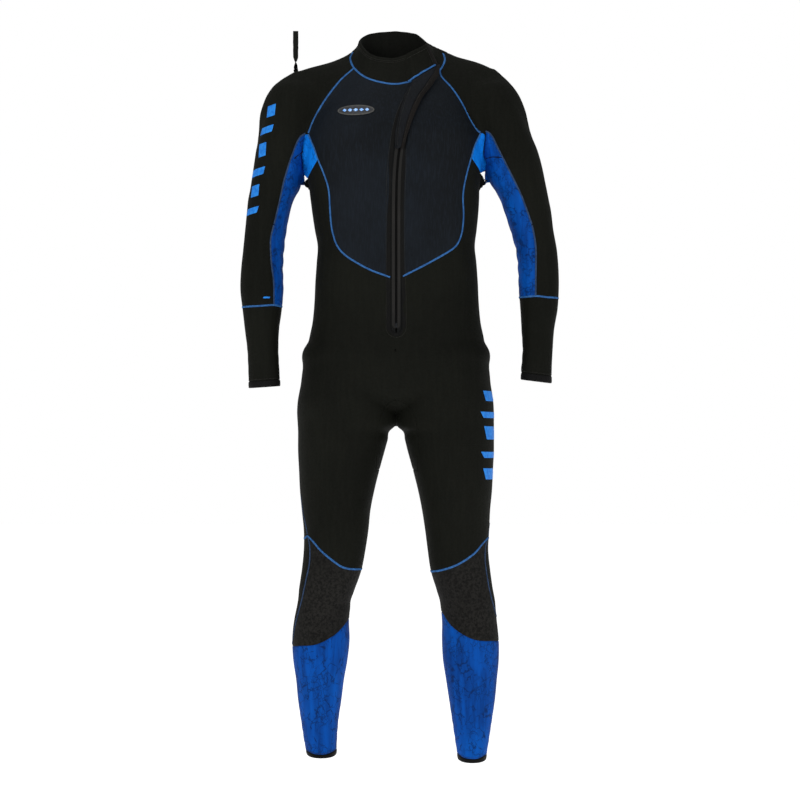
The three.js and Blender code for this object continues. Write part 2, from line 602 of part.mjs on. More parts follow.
// Slider and pull tab, parked under the flap. Distances "out" are towards the front.
const SLIDER = {
  z: 1252, turn: 4.46, tip: 1.99,               // degrees about y and x
  width: 9, length: 13, low: 0.45, high: 1.7,   // body, between low and high out
  pinOut: 3.35, pinRadius: 0.6, pinLength: 8.2,
  lugInner: 3.0, lugOuter: 4.3, lugHalf: 1.6, lugPastPin: 1.1, lugSink: 0.2,
};
const TAB = {
  length: 20, width: 5.6, thick: 1.0, eye: 1.3, eyeWidth: 5.2, hole: 0.85,
  neckHalf: 2.6, neckLength: 6, bladeTop: -5,
};

const placeOnZip = (solid) => solid.rotate([SLIDER.tip, SLIDER.turn, 0])
  .translate([zipX(SLIDER.z), zipY(SLIDER.z), SLIDER.z]);
// Rod across the slider, on the axis of its pin.
const pinRod = (radius, width) => Manifold.cylinder(width, radius, radius, 12, true)
  .rotate([0, 90, 0]).translate([0, -SLIDER.pinOut, 0]);

function zipSlider() {
  const { width, length, low, high, lugHalf } = SLIDER;
  const lug = (x0, x1) => box(x0, x1, -SLIDER.pinOut - SLIDER.lugPastPin,
    -high + SLIDER.lugSink, -lugHalf, lugHalf);
  return box(-width / 2, width / 2, -high, -low, -length / 2, length / 2)
    .add(lug(-SLIDER.lugOuter, -SLIDER.lugInner))
    .add(lug(SLIDER.lugInner, SLIDER.lugOuter))
    .add(pinRod(SLIDER.pinRadius, SLIDER.pinLength));
}
addPiece('zip_slider', placeOnZip(zipSlider()), 'metal');

function pullTab() {
  const leaf = (half, z0, z1) => box(-half, half,
    -SLIDER.pinOut - TAB.thick / 2, -SLIDER.pinOut + TAB.thick / 2, z0, z1);
  return pinRod(TAB.eye, TAB.eyeWidth)
    .add(leaf(TAB.neckHalf, -TAB.neckLength, 0))
    .add(leaf(TAB.width / 2, -TAB.length, TAB.bladeTop))
    .subtract(pinRod(TAB.hole, 20));
}
addPiece('zip_pull_tab', placeOnZip(pullTab()), 'metal');

// ---------------------------------------------------------------- layers on the front
// Surface points are shared between places that agree to a micron.
const frontCache = new Map();
function onFront(x, z) {
  const key = `${x.toFixed(3)},${z.toFixed(3)}`;
  if (!frontCache.has(key)) {
    const y = frontY(x, z);
    frontCache.set(key, { y, normal: bodyNormal(x, y, z) });
  }
  return frontCache.get(key);
}

// Sheet with an [x, z] outline, between two heights above the front surface.
function layer(outline, { low, high, edge }) {
  return new CrossSection([outline], 'NonZero')
    .extrude(high - low)
    .rotate([90, 0, 0])
    .refineToLength(edge)
    .warp((v) => {
      const height = low - v[1];
      const { y, normal } = onFront(v[0], v[2]);
      v[0] += normal[0] * height;
      v[1] = y + normal[1] * height;
      v[2] += normal[2] * height;
    });
}

// Inner baffle behind the zip.
const BAFFLE = [[-32, 842], [34, 842], [36, 1000], [38, 1150], [48, 1250], [62, 1318],
  [40, 1326], [2, 1316], [-18, 1250], [-30, 1150], [-32, 1000]];
addPiece('zip_baffle',
  layer(BAFFLE, { low: -SHEET - 7.0, high: -SHEET - 4.2, edge: 60 }), 'lining');

// Zip flap over the top of the zip and its bound edge, clear of the slider.
// Their edges are [x, z] from the bottom up; FLAP_SEAM parts the two pieces.
const FLAP = { low: 5.4, high: 7.8, edge: 22 };
const FLAP_GAP = 0.6;
const FLAP_RIGHTMOST = [[10.8, 1222], [6.2, 1238], [4.7, 1254], [11, 1282], [19.8, 1310.8],
  [30.6, 1340]];
const FLAP_SEAM = [[15.4, 1228], [19, 1248], [27.2, 1275], [40.5, 1308], [57, 1335],
  [70, 1358]];
const FLAP_LEFTMOST = [[17.5, 1222], [25, 1240], [37.5, 1274], [53, 1310], [69, 1334],
  [83, 1358]];
const FLAP_TOP = [[73, 1374], [57, 1360], [43, 1348]];
const FLAP_FOOT = [12.6, 1227];
const BINDING_TOP = [[85, 1381], [74, 1375]];
const BINDING_FOOT = [13.2, 1225.6];
addPiece('zip_flap', layer([
  FLAP_FOOT, ...FLAP_SEAM.map(([x, z]) => [x - FLAP_GAP, z]),
  ...FLAP_TOP, ...reversed(FLAP_RIGHTMOST),
], FLAP), 'navy');
addPiece('zip_flap_binding', layer([
  ...FLAP_LEFTMOST, ...BINDING_TOP, ...reversed(FLAP_SEAM), BINDING_FOOT,
], FLAP), 'binding');

// ---------------------------------------------------------------- collar closure
// Foot of the closure: [degrees from straight ahead towards the wearer's left, z].
const CLOSURE_FOOT = [[15, 1342.5], [20, 1345.5], [25, 1349.5], [30, 1354], [35, 1359.5],
  [40, 1364], [45, 1368.5], [50, 1373], [60, 1380]];
const CLOSURE = { rimRadius: 62, farRadius: 130, steps: 5 };

// Patch round the neck between the angles `from` and `footEnd` (`rimEnd` at the rim),
// inset from the closure's foot and the rim, from `low` to `high` off the surface.
function wrapNeck({ from, footEnd, rimEnd, footInset, rimInset, low, high }) {
  return Manifold.cube([1, 1, 1]).refine(CLOSURE.steps).warp((v) => {
    const end = footEnd + (rimEnd - footEnd) * v[2];
    const angle = (from + (end - from) * v[0]) * Math.PI / 180;
    const zFoot = interpolate(CLOSURE_FOOT, from + (footEnd - from) * v[0]) + footInset;
    const zRim = RIM.z - RIM.slope * CLOSURE.rimRadius * Math.cos(angle) - rimInset;
    const z = zFoot + (zRim - zFoot) * v[2];
    const { x, y, normal } =
      neckSurface(Math.sin(angle), -Math.cos(angle), z, CLOSURE.farRadius);
    const height = high + (low - high) * v[1];
    v[0] = x + normal[0] * height;
    v[1] = y + normal[1] * height;
    v[2] = z + normal[2] * height;
  });
}
addPiece('collar_flap', wrapNeck({
  from: 23, footEnd: 60, rimEnd: 52, footInset: 0, rimInset: 1, low: 6.4, high: 9.0,
}), 'black');
addPiece('collar_loop_patch', wrapNeck({
  from: 29, footEnd: 54, rimEnd: 47, footInset: 9, rimInset: 9, low: 3.0, high: 3.8,
}), 'hook');
addPiece('collar_hook_patch', wrapNeck({
  from: 31, footEnd: 52, rimEnd: 45, footInset: 10.5, rimInset: 10.5, low: 4.7, high: 5.5,
}), 'hook');

// ---------------------------------------------------------------- chest badge
const BADGE = { x: -77, z: 1287, halfWidth: 32.5, halfHeight: 9.6, points: 18 };
const badgeOutline = Array.from({ length: BADGE.points }, (_, i) => {
  const angle = 2 * Math.PI * i / BADGE.points;
  return [
    BADGE.x + BADGE.halfWidth * Math.cos(angle),
    BADGE.z + BADGE.halfHeight * Math.sin(angle),
  ];
});
addPiece('chest_badge', layer(badgeOutline, { low: 0.9, high: 1.7, edge: 34 }), 'badge');

export default suit;
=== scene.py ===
# Full-length wetsuit with a front zip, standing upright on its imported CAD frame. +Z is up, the
# front faces -Y and the wearer's right is at -X. Every cloth panel is cut out of one smooth
# body surface; seams, zip, collar closure and prints are laid on that surface.
import math
import bmesh
import bpy
import numpy as np
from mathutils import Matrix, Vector


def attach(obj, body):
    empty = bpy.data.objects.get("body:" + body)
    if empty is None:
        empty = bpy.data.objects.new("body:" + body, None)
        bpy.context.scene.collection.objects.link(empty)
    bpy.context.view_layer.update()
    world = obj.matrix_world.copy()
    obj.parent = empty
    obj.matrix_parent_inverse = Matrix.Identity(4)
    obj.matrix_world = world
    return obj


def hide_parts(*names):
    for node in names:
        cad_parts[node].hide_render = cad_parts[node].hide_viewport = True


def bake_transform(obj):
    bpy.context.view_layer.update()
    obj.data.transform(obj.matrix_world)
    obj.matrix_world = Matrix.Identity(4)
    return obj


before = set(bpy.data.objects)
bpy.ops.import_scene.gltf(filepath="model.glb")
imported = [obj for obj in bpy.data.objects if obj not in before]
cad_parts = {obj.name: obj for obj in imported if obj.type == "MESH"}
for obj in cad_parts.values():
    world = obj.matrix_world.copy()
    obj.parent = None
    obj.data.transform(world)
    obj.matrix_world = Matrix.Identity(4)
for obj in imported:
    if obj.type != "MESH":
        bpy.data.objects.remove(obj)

SIGN = {"right": -1, "left": 1}    # direction of each side along X
SPLIT_Y = 4.0                      # depth where front outlines meet back outlines
SHEET = 5.0                        # thickness of the cloth
SNAP = 0.02                        # points this near a cutting line count as on it

# ------------------------------------------------------------------ body sections
# Columns: height, right edge, left edge, front, back.
TORSO = [
    (690, -6, 6, -6, 20), (700, -28, 28, -34, 52), (716, -60, 62, -62, 84),
    (740, -105, 106, -82, 108), (770, -150, 152, -93, 118), (800, -176, 178, -98.5, 120),
    (835, -174, 178, -101.7, 114), (875, -166, 170, -103.2, 102), (915, -162, 166, -104.6, 91),
    (955, -160, 164, -106, 85), (995, -157, 161, -107.4, 82), (1025, -155, 158, -108.4, 82),
    (1060, -161, 162, -109.7, 86), (1100, -167, 166, -111, 92), (1140, -172, 168, -112.5, 99),
    (1180, -177, 171, -113.9, 104), (1220, -178, 172, -115.3, 108),
    (1255, -171, 167, -116.4, 109), (1300, -150, 148, -103, 105), (1335, -122, 122, -89, 98),
    (1365, -99, 100, -77, 88), (1390, -86, 88, -70, 78), (1410, -80, 80, -66, 72),
    (1430, -75, 68, -64, 67), (1450, -71, 61, -62, 65), (1500, -68, 57, -60, 63),
]
YOKE = [
    (1225, -262, 258, 2, 14), (1250, -262, 256, -14, 32), (1280, -262, 252, -36, 52),
    (1310, -256, 247, -50, 62), (1335, -246, 237, -52, 64), (1354, -231, 223, -48, 62),
    (1369, -212, 210, -42, 58), (1383, -178, 193, -34, 52), (1395, -134, 166, -26, 46),
    (1407, -104, 124, -18, 40), (1420, -82, 96, -10, 32), (1435, -60, 60, 0, 24),
]
# Columns: height, right limb's two edges, left limb's two edges, front, back.
ARMS = [
    (1368, -206, -194, 192, 204, 0, 16), (1360, -220, -176, 174, 214, -18, 34),
    (1350, -234, -164, 160, 224, -38, 50), (1332, -248, -152, 148, 237, -50, 60),
    (1300, -262, -150, 144, 253, -56, 68), (1260, -270, -158, 152, 267, -56, 70),
    (1220, -279, -170, 164, 284, -54, 69), (1180, -285, -181, 178, 295, -50, 66),
    (1160, -288, -186, 186, 299, -48, 64), (1140, -291, -193, 199, 303, -47, 62),
    (1120, -295, -204, 210, 307, -45, 60), (1100, -297, -210, 217, 311, -44, 58),
    (1060, -301, -218, 230, 316, -42, 54), (1020, -305, -223, 241, 323, -42, 50),
    (980, -309, -225, 245, 326, -46, 46), (940, -310, -224, 246, 326, -50, 40),
    (900, -305, -227, 249, 323, -52, 30), (860, -300, -232, 251, 316, -52, 20),
    (820, -295, -233, 253, 313, -52, 12), (780, -293, -231, 250, 311, -52, 6),
    (740, -292, -229, 249, 311, -52, 4), (700, -292, -229, 249, 311, -52, 4),
]
LEGS = [
    (850, -130, -60, 60, 130, -40, 50), (830, -168, -24, 24, 170, -76, 92),
    (790, -184, -6, 6, 186, -92, 116), (750, -190, -4, 5, 191, -95, 119),
    (715, -196, -3, 4, 196, -94, 115), (696, -197, 2, 1, 197, -92, 111),
    (672, -195.7, 3, 1, 197, -90, 105.7), (664, -195.2, -5, 7, 197, -89.3, 103.9),
    (660, -195, -10, 12.5, 197, -89, 103), (640, -195, -15.5, 19, 197, -88, 98),
    (620, -195, -21, 24, 197, -86, 94), (580, -193, -32, 35, 195, -84, 87),
    (540, -191, -42, 45, 193, -81, 79), (500, -187, -50, 53, 189, -77, 70),
    (460, -183, -54, 59, 187, -72, 60), (420, -183, -60, 64, 185, -68, 52),
    (380, -187, -68, 70, 189, -65, 46), (340, -193, -82, 82, 195, -58, 50),
    (320, -195, -89, 88, 199, -54, 55), (300, -199, -91, 91, 201, -50, 60),
    (280, -203, -93, 93, 203, -48, 64), (240, -207, -92, 93, 207, -45, 68),
    (200, -205, -96, 95, 207, -43, 67), (160, -199, -103, 101, 203, -40, 61),
    (120, -195, -108, 107, 199, -38, 53), (80, -189, -114, 113, 193, -36, 46),
    (40, -183, -117, 119, 187, -36, 42), (6, -177, -118, 124, 182, -37, 42),
    (-60, -176, -118, 124, 182, -37, 42),
]


def one_limb(rows, edge):
    """Sections of one limb of a pair; edge is the column of its first edge."""
    return [(row[0], *row[edge:edge + 2], *row[5:]) for row in rows]


TUBES = {    # sections, and how square they are (2 is an ellipse)
    "torso": (TORSO, 2.35),
    "yoke": (YOKE, 2.5),
    "arm_right": (one_limb(ARMS, 1), 2.1),
    "arm_left": (one_limb(ARMS, 3), 2.1),
    "leg_right": (one_limb(LEGS, 1), 2.1),
    "leg_left": (one_limb(LEGS, 3), 2.1),
}
# Radius that rounds the joints between limbs: heights, then radii.
BLEND_ARM = [1120, 1165, 1215, 1290, 1400, 1440], [3, 4, 20, 34, 26, 14]
BLEND_CROTCH = [600, 690, 740], [2, 4, 14]
BLEND_HIP = [600, 690, 740, 800, 900], [3, 8, 22, 30, 20]

# ------------------------------------------------------------------ panel edges
# Lines between panels as (x, z), seen square on. Many of them carry a seam.
LINES = {
    "neck_front": [
        (-85, 1415.8), (-88.6, 1409.2), (-90.7, 1401.9), (-89.3, 1394.5), (-86.4, 1385.9),
        (-82.2, 1377.9), (-76, 1370), (-68.4, 1362.4), (-59.9, 1356), (-50.6, 1351.1),
        (-40.4, 1347.2), (-30.3, 1344.3), (-20.3, 1341.9), (-10.3, 1340.4), (-0.8, 1339.8),
        (8.1, 1340.5), (16.5, 1342.2), (24.7, 1344.1), (32.7, 1346.1), (40.5, 1348.3),
        (48.3, 1351.1), (56.5, 1354.8), (64.8, 1359.2), (72.2, 1363.5), (80.8, 1368),
        (88.3, 1373.8), (92.6, 1380.7), (96.4, 1389.2), (98.6, 1396.8), (97.5, 1405.1),
        (94.9, 1413.2)],
    "neck_back": [
        (-85, 1416), (-61, 1404), (-31, 1398), (3, 1396), (37, 1398), (69, 1404), (95, 1414)],
    "raglan_right": [
        (-82.2, 1377.9), (-91, 1370.2), (-99.9, 1362.4), (-108.8, 1353.5), (-117.9, 1342.5),
        (-127.1, 1330.7), (-135.4, 1319.4), (-142.5, 1309.1), (-148.7, 1299.2),
        (-154.1, 1290.2), (-158.3, 1282.9), (-162, 1275.7), (-165.2, 1268.5), (-168.1, 1261.2),
        (-170.6, 1253.9), (-173.2, 1246.8)],
    "raglan_left": [
        (88.3, 1373.8), (88.7, 1367.2), (90.1, 1360.9), (95.9, 1354), (104, 1345.7),
        (111.8, 1336.8), (118.7, 1327.4), (125.3, 1317.3), (131.6, 1307.1), (137.2, 1296.3),
        (142.3, 1285), (147.3, 1275.1), (152.1, 1267), (157.1, 1259.7), (161.3, 1254.1),
        (165.3, 1251.2), (169.4, 1248.7)],
    "raglan_back_right": [
        (-61, 1404), (-99, 1360), (-110.3, 1346.4), (-121, 1333.2), (-131, 1320),
        (-140.4, 1306.2), (-149.1, 1292.4), (-157, 1280), (-175, 1252)],
    "raglan_back_left": [
        (69, 1404), (103, 1360), (113.5, 1346.4), (123.6, 1333.2), (133, 1320),
        (141.8, 1306.1), (150, 1292.3), (157, 1280), (171, 1254)],
    "chest_right": [
        (-173.2, 1246.8), (-167.7, 1234.3), (-160.6, 1217.1), (-153.2, 1194.4),
        (-149.8, 1186.2), (-146, 1177.4), (-142.3, 1168.1), (-138.4, 1157.6), (-134.4, 1146.3),
        (-131.4, 1134.2), (-129.8, 1120.9), (-129.2, 1106.8), (-128.5, 1093.1),
        (-127.6, 1080.2), (-126.6, 1067.7), (-125, 1055.9), (-122.4, 1044.5), (-119.2, 1033.7),
        (-115.3, 1024.2), (-110.6, 1016.7), (-105.2, 1010.2), (-98.8, 1004.1), (-90.4, 997.7),
        (-80.8, 991.6), (-71.2, 986), (-62.3, 980.9), (-53.4, 976.4), (-43.8, 972),
        (-32.6, 967.7), (-20.6, 963.6), (-8.6, 959.4)],
    "chest_left": [
        (169.4, 1248.7), (165.2, 1240.6), (160.9, 1232.1), (157.1, 1223.4), (154.3, 1215.2),
        (152.1, 1207.2), (149.9, 1198.7), (146.1, 1185.7), (141.9, 1170.7), (138.4, 1156.5),
        (135.8, 1144.3), (133.9, 1132.8), (132.8, 1120.8), (133, 1107.9), (133.9, 1094.6),
        (134.2, 1081.7), (133.5, 1069.3), (132.2, 1057.1), (130.1, 1046.3), (127.5, 1037.6),
        (124, 1029.7), (118.9, 1022.3), (111.7, 1015.7), (102.8, 1009.8), (93.2, 1003.8),
        (80.5, 996.4), (66.1, 988.4), (52, 980.8), (13.3, 961)],
    "underarm_right": [
        (-178.2, 1248), (-183.2, 1245.2), (-187.8, 1241.8), (-191.2, 1236.6), (-194.1, 1230.6),
        (-196.9, 1224.5), (-199.6, 1217.7), (-210.7, 1187.1), (-220.7, 1153.7),
        (-229.5, 1114.6), (-237.5, 1080.9), (-240.9, 1067)],
    "underarm_left": [
        (178.2, 1252.4), (185.1, 1249), (188.7, 1245.1), (192.1, 1240.2), (195.1, 1234.3),
        (198.4, 1227), (202, 1219.4), (218.7, 1186.9), (234.6, 1155.4), (239.9, 1144.7),
        (245.3, 1133.8), (250.6, 1122), (256.3, 1107.1), (262.1, 1091.1), (266.5, 1078.6),
        (268.7, 1072.7), (270.5, 1066.7)],
    "elbow_right": [
        (-240.9, 1067), (-243.1, 1058.5), (-245.8, 1048.3), (-247.6, 1037.3), (-247.6, 1021.5),
        (-246.8, 1003.6), (-245.5, 987.6), (-244.2, 976.8), (-242.6, 966.7), (-241.4, 955.9),
        (-240.8, 941.1), (-240.7, 924.7), (-240.6, 908.2)],
    "elbow_left": [
        (270.5, 1066.7), (272.5, 1058), (274.7, 1047.3), (276.5, 1037), (277.5, 1028.4),
        (278.2, 1020.1), (278.5, 1011.3), (278.4, 997.9), (278.1, 982.5), (277.8, 967.4),
        (277.2, 925.7)],
    "forearm_right": [
        (-303.2, 904.9), (-271.7, 905.8), (-260.9, 906.7), (-250, 907.7), (-240.6, 908.2),
        (-234.5, 907.4), (-229, 906.2), (-224, 906.2), (-215.1, 905.9), (-205.2, 906),
        (-195.2, 906.2)],
    "forearm_left": [
        (327.3, 922.8), (299.8, 923.4), (292.3, 924.3), (285, 925.3), (277.2, 925.7),
        (266.8, 925.1), (255.5, 924.1), (245.2, 925), (232.7, 925.1), (220, 925.6),
        (207.2, 926.2)],
    "forearm_foot_right": [
        (-206.7, 813.9), (-207.5, 786), (-208.2, 758), (-225.2, 761), (-286.3, 756.7),
        (-351.3, 754)],
    "forearm_foot_left": [(225.2, 776), (245.2, 775), (313.3, 767), (369.3, 760)],
    "cuff_right": [    # upper edge, then lower edge
        (-351.3, 754), (-286.3, 756.7), (-225.2, 761), (-208.2, 762),
        (-208.2, 749), (-225.2, 748), (-286.3, 743.8), (-351.3, 740)],
    "cuff_left": [
        (369.3, 760), (313.3, 767), (245.2, 775), (225.2, 777.1),
        (225.2, 763), (245.2, 761), (313.3, 753), (369.3, 746)],
    # sides of the trunk, upwards: hip, waist, ribs, then the armhole
    "hip_side_right": [
        (-206.2, 819), (-205.2, 840.1), (-202.1, 862.6), (-198.3, 883.6), (-195.2, 906.2)],
    "hip_side_left": [
        (221.2, 819), (219.2, 840.1), (215.3, 867.6), (210.7, 897.6), (207.2, 926.2)],
    "waist_side_right": [(-193.3, 936.3), (-192.1, 969.6), (-191.2, 1000.2)],
    "waist_side_left": [
        (205.9, 951.9), (205.8, 976.3), (205.2, 1000.2), (203.5, 1025.4), (201.3, 1050.1)],
    "rib_side_right": [
        (-190.2, 1070.3), (-190, 1080.6), (-189.9, 1090.1), (-189.2, 1100.3), (-187.4, 1113.8),
        (-185, 1128.4), (-183.2, 1140.4), (-182.6, 1148.6), (-182.2, 1156.4)],
    "rib_side_left": [
        (199.2, 1070.3), (197.4, 1080.8), (195.4, 1090.6), (193.2, 1100.3), (185.2, 1130.4),
        (179.2, 1156.4)],
    "armhole_right": [
        (-182.4, 1165.9), (-182.5, 1174.9), (-182.4, 1182.7), (-183, 1190.2), (-183.9, 1197.5),
        (-184.4, 1204.5), (-184.4, 1211), (-184.1, 1217), (-183.3, 1223.5), (-181.9, 1231.3),
        (-180, 1239.6)],
    "armhole_left": [
        (179.2, 1167.5), (179.2, 1178.2), (178.5, 1186.6), (177.5, 1192.8), (176.3, 1198.6),
        (175.5, 1204.9), (175.5, 1212.6), (175.8, 1221.1), (176.3, 1229.4)],
    "zip_side_right": [
        (38.5, 1347.8), (38, 1340.2), (22.3, 1310.8), (10.6, 1282), (4.2, 1255.8),
        (-1.7, 1220.9), (-6.6, 1178.1), (-9.1, 1110.1), (-9.4, 1012.8), (-9.5, 960.6)],
    "zip_side_left": [
        (12.4, 1012.8), (12.7, 1110.1), (15.2, 1178.1), (20.2, 1220.9), (26, 1255.9),
        (34.8, 1282.2), (46.6, 1311.2), (62.5, 1341.3)],
    "zip_slot": [
        (13.1, 915.4), (13.1, 860.7), (10.2, 851), (2, 846.1), (-6.2, 851), (-9.2, 860.7),
        (-9.2, 915.4)],
    "waist_back": [
        (-191, 996), (-183.4, 989.1), (-175.8, 982.2), (-167, 976), (-144.9, 965.6),
        (-116.5, 953.9), (-87, 944), (-57.6, 936.3), (-27.1, 930.4), (3, 928), (31.9, 930.4),
        (60.3, 936.3), (89, 944), (120.4, 953.9), (152, 965.6), (177, 976), (187.1, 982.2),
        (196.1, 989.1), (205, 996)],
    "crotch_right": [
        (-5.4, 718), (-10.7, 716.1), (-15.9, 711), (-20.7, 704.2), (-23.7, 698.4),
        (-26.5, 691.7), (-28.9, 684.4), (-31.1, 675.7), (-33, 666), (-34.4, 656.8),
        (-35.4, 648.8), (-36, 641.2), (-36.5, 633)],
    "crotch_left": [
        (7.1, 718), (13.9, 716.1), (20.7, 711.9), (26.8, 706.2), (30.1, 701.5), (32.9, 696.3),
        (35.4, 690.4), (37.8, 683.3), (39.9, 675.4), (41.5, 666.8), (42.6, 656.6),
        (43.3, 645.3), (43.7, 633.2)],
    "knee_right": [
        (-221.2, 439.8), (-185.2, 440.8), (-174.4, 451.2), (-162.9, 440.4), (-157.8, 434.6),
        (-152.1, 428), (-145.6, 421.3), (-134.2, 411.7), (-120.8, 401.1), (-109.3, 392.8),
        (-103, 389.7), (-96.7, 387.6), (-89.8, 386.1), (-81.3, 385.1), (-72, 384.3),
        (-63.1, 381.7)],
    "knee_left": [
        (221.2, 439.8), (193.2, 438.8), (184.1, 446.3), (171.3, 434.1), (166.7, 428.7),
        (161.8, 422.7), (156, 417.1), (145.9, 409.8), (133.8, 401.8), (121.3, 394.8),
        (108.3, 389.4), (95, 385), (84.2, 381.6), (76.3, 380.4), (69.1, 377.7)],
    "knee_side_right": [
        (-174.4, 451.2), (-172.5, 444.3), (-170.7, 437.4), (-169.5, 429.8), (-169.2, 419.4),
        (-169.4, 407.7), (-170.3, 396.3), (-172.1, 385.9), (-174.6, 375.7), (-177.2, 364.8),
        (-185.6, 324.8), (-195.3, 289.9), (-197.7, 280.8), (-199.7, 272.3), (-201.7, 263.2),
        (-203.5, 252.1), (-205.3, 240), (-207.2, 227.6)],
    "knee_side_left": [
        (184.1, 446.3), (182, 440.5), (180.1, 434.8), (178.6, 428.4), (177.9, 420.6),
        (177.6, 412.2), (177.7, 403.8), (178.2, 396), (179.1, 388.2), (180.3, 380),
        (184.8, 352.3), (191, 325.9), (198.5, 299.2), (200.6, 291.9), (202.9, 284.6),
        (204.4, 278.2), (205.5, 271.4), (206.4, 264.5), (207.2, 257.6), (209.2, 237.6)],
    "calf_right": [
        (-241.2, 221.6), (-230.2, 223.7), (-219.1, 225.9), (-207.2, 227.6), (-191.1, 231.4),
        (-174.7, 232.5), (-159.3, 234.8), (-144.9, 240.1), (-131.3, 247.2), (-119.9, 254),
        (-112.3, 260), (-105.8, 266.4), (-100.5, 272), (-95.7, 277.9), (-91.1, 283.6),
        (-84.7, 292.3), (-76.9, 302.6), (-67.1, 311.6), (-47.7, 321), (-23.3, 330.3),
        (1, 339.7)],
    "calf_left": [
        (241.2, 229.6), (230.8, 232.5), (220.4, 235.5), (209.2, 237.6), (194.9, 240.8),
        (180.5, 241.5), (167.5, 242.6), (156.9, 244.9), (147.3, 248.2), (137.7, 252.7),
        (127.5, 258.5), (117.3, 265.4), (108.3, 273.1), (101.1, 282), (95.1, 291.7),
        (89.1, 299.6), (82.9, 307.3), (76.7, 314.1), (69.1, 319.6), (49.9, 326.3),
        (25.5, 333), (1, 339.7)],
    "hem_right": [
        (-231.2, 39.4), (-214.5, 33.7), (-197.8, 28), (-185.2, 23.4), (-180.1, 19.9),
        (-174.2, 20.1), (-167.4, 18.2), (-159.7, 16.6), (-153.3, 16.2), (-146.2, 16.1),
        (-139.8, 16.3), (-132.5, 17.7), (-126.2, 19.5), (-121.4, 21.5), (-117.1, 22.2),
        (-91.1, 43.4)],
    "hem_left": [
        (233.2, 35.4), (216.4, 28.2), (199.7, 21), (187.2, 15.4), (183.1, 12.2), (178.3, 12.6),
        (171.6, 10.1), (163.8, 7.9), (157.3, 7.5), (150.3, 7.5), (143.9, 7.8), (136.5, 8.9),
        (130.4, 10.5), (126.5, 12.7), (123.1, 13.4), (113.7, 19.6), (101.4, 27.5),
        (89.1, 35.4)],
    "thigh_side_right": [
        (-188.7, 532.8), (-183.2, 493.4), (-177.5, 470.6), (-174.4, 452.8)],
    "thigh_side_left": [
        (191.7, 532.6), (191.8, 519.8), (189.2, 485.2), (185.8, 461.2), (184, 447.5)],
    "fold_right": [
        (-178.6, 1240), (-182.1, 1223.6), (-184.4, 1204.5), (-183.9, 1197.5), (-183, 1190.2),
        (-182.4, 1182.7)],
    "fold_left": [
        (177.3, 1243.8), (176.3, 1229.4), (175.8, 1221.1), (175.5, 1212.6), (175.5, 1204.9),
        (176.3, 1198.6), (177.5, 1192.8), (178.5, 1186.6)],
    "arm_join_right": [(-182.7, 1213.1), (-191.3, 1206.9), (-201, 1197.4)],
    "arm_join_left": [(179.6, 1199.9), (191.4, 1201.8), (211.6, 1199.5)],
}
# The hem's back half differs from its front half in the heights of points 5 to 13.
HEM_BACK_Z = {
    "right": [21.6, 22.1, 22.4, 22.9, 23.1, 22.8, 23, 23, 23.2],
    "left": [14.3, 14.2, 13.9, 14.3, 14.4, 14.1, 13.6, 13.2, 13.9],
}
for side_, heights_ in HEM_BACK_Z.items():
    hem_ = LINES[f"hem_{side_}"]
    middle_ = [(x, z) for (x, _), z in zip(hem_[5:14], heights_)]
    LINES[f"hem_back_{side_}"] = hem_[:5] + middle_ + hem_[14:]

CORNERS = {    # outline corners that differ between the sides
    "right": dict(
        neck_x=-131.1, shoulder_end=(-178.2, 1243), arm_x=-351.3, elbow_z=902.2, hip_x=-221.2,
        armpit=(-175.6, 1162.4), gusset_points=4, crotch_foot=(-38.6, 581.1),
        below_hem=[(-91, -60), (-231, -60)]),
    "left": dict(
        neck_x=139.1, shoulder_end=(178.3, 1242.8), arm_x=369.3, elbow_z=920.2, hip_x=233.2,
        armpit=(174.5, 1168.4), gusset_points=7, crotch_foot=(44.7, 581.3),
        below_hem=[(89, -60), (233, -60)]),
}
NECK_Z = 1420.6        # height of the collar's outer lower corners
ARM_SPLIT_Z = 1070.3   # height where upper sleeve and elbow part
HIP_TOP_Z = 819
THIGH_TOP_Z = 631.9
KNEE_INNER = (1, 369.7)


def both(points):
    """An outline used for the front half and for the back half."""
    return points, points


